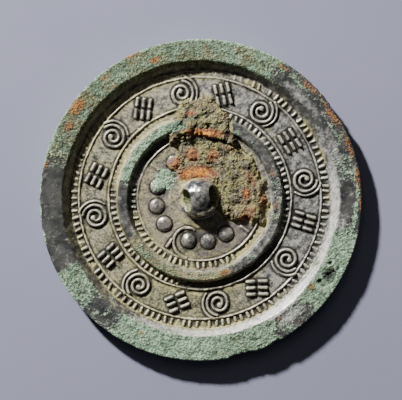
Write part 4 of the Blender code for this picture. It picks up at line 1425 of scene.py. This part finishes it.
# %% Crust
def earth():
    finish = Finish("crusted_earth")
    broad, lumps = finish.noise(5.0), finish.noise(2.4)
    patchy, fine = finish.noise(1.0, 3), finish.noise(0.4, 3)
    crumb, rust_note = finish.attribute("crumb"), finish.attribute("rust")
    uneven_edge = (patchy - 0.5) * 1.0 + (fine - 0.5) * 0.7
    rust = (rust_note + uneven_edge * 0.8).over(0.30, 0.70)
    green = (finish.attribute("green") + uneven_edge).over(0.45, 0.85)
    pits_and_shade = (finish.attribute("pits_and_shade") + uneven_edge).over(0.40, 0.80)
    bright = rust_note.over(0.9, 1.3)

    orange = finish.coats(
        finish.mix(patchy.over(0.40, 0.62), RUSTY_EARTH, RED_EARTH),
        (bright, BRIGHT_EARTH),
        (fine.over(0.50, 0.68) * (0.35 + bright * 0.4), PALE_ORANGE),
        ((1 - fine).over(0.48, 0.62) * 0.8, BURNT_EARTH),
    )
    colour = finish.coats(
        finish.mix(broad.over(0.40, 0.60), OLIVE_EARTH, BROWN_EARTH),
        (lumps.over(0.49, 0.58) * 0.9, GREY_EARTH),
        (patchy.over(0.52, 0.66) * 0.8, SHADED_EARTH),
        ((1 - patchy).over(0.52, 0.64) * 0.8, SANDY_EARTH),
        (fine.over(0.52, 0.66) * 0.7, PALE_SAND),
        ((1 - fine).over(0.50, 0.64) * 0.7, DARK_EARTH),
        (green * 0.85, COPPER_STAIN),
        (rust * 0.9, orange),
        # Black cracks and the painted shadow under the lump, then painted shade between the crumbs
        (pits_and_shade * 0.85, BLACK_EARTH_AND_SHADOW),
        ((1 - crumb).over(0.50, 0.95) * 0.9, PAINTED_PIT_SHADE),
    )
    return finish.surface(
        Base_Color=colour,
        Roughness=(0.88 + (fine - 0.5) * 0.2).held(),
        Normal=finish.bump(fine, 0.15),
    )


crust.data.materials.append(earth())

# %% [markdown]
# ## The table top
#
# A matt, pale lavender-grey sheet, with the faintest cloudiness so that it isn't a dead flat colour.
# It is stage and no part of the mirror.

# %% Floor
FLOOR_SIZE = 4.0


def paper():
    finish = Finish("grey_paper")
    cloud, tooth = finish.noise(40.0), finish.noise(0.4)
    colour = finish.mix(cloud, pigment(141, 141, 162), pigment(149, 148, 170))
    rough = (0.85 + tooth * 0.1).held()
    return finish.surface(Base_Color=colour, Roughness=rough, Normal=finish.bump(tooth, 0.01))


half = FLOOR_SIZE / 2 / MM
corners = np.array([(-half, -half, 0), (half, -half, 0), (half, half, 0), (-half, half, 0)])
floor = object_from("floor", mesh_from("floor", corners, np.array([(0, 1, 2), (0, 2, 3)])))
floor.data.materials.append(paper())

# %% [markdown]
# ## Fasten the pieces
#
# Both skins are the mirror's one casting, so they ride on its only body and stand for its solid.
# The dressed mirror has to fit the box of the CAD model.

# %% Ride and replace
for piece in (casting, crust):
    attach(piece, "root")
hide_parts("bronze_mirror")
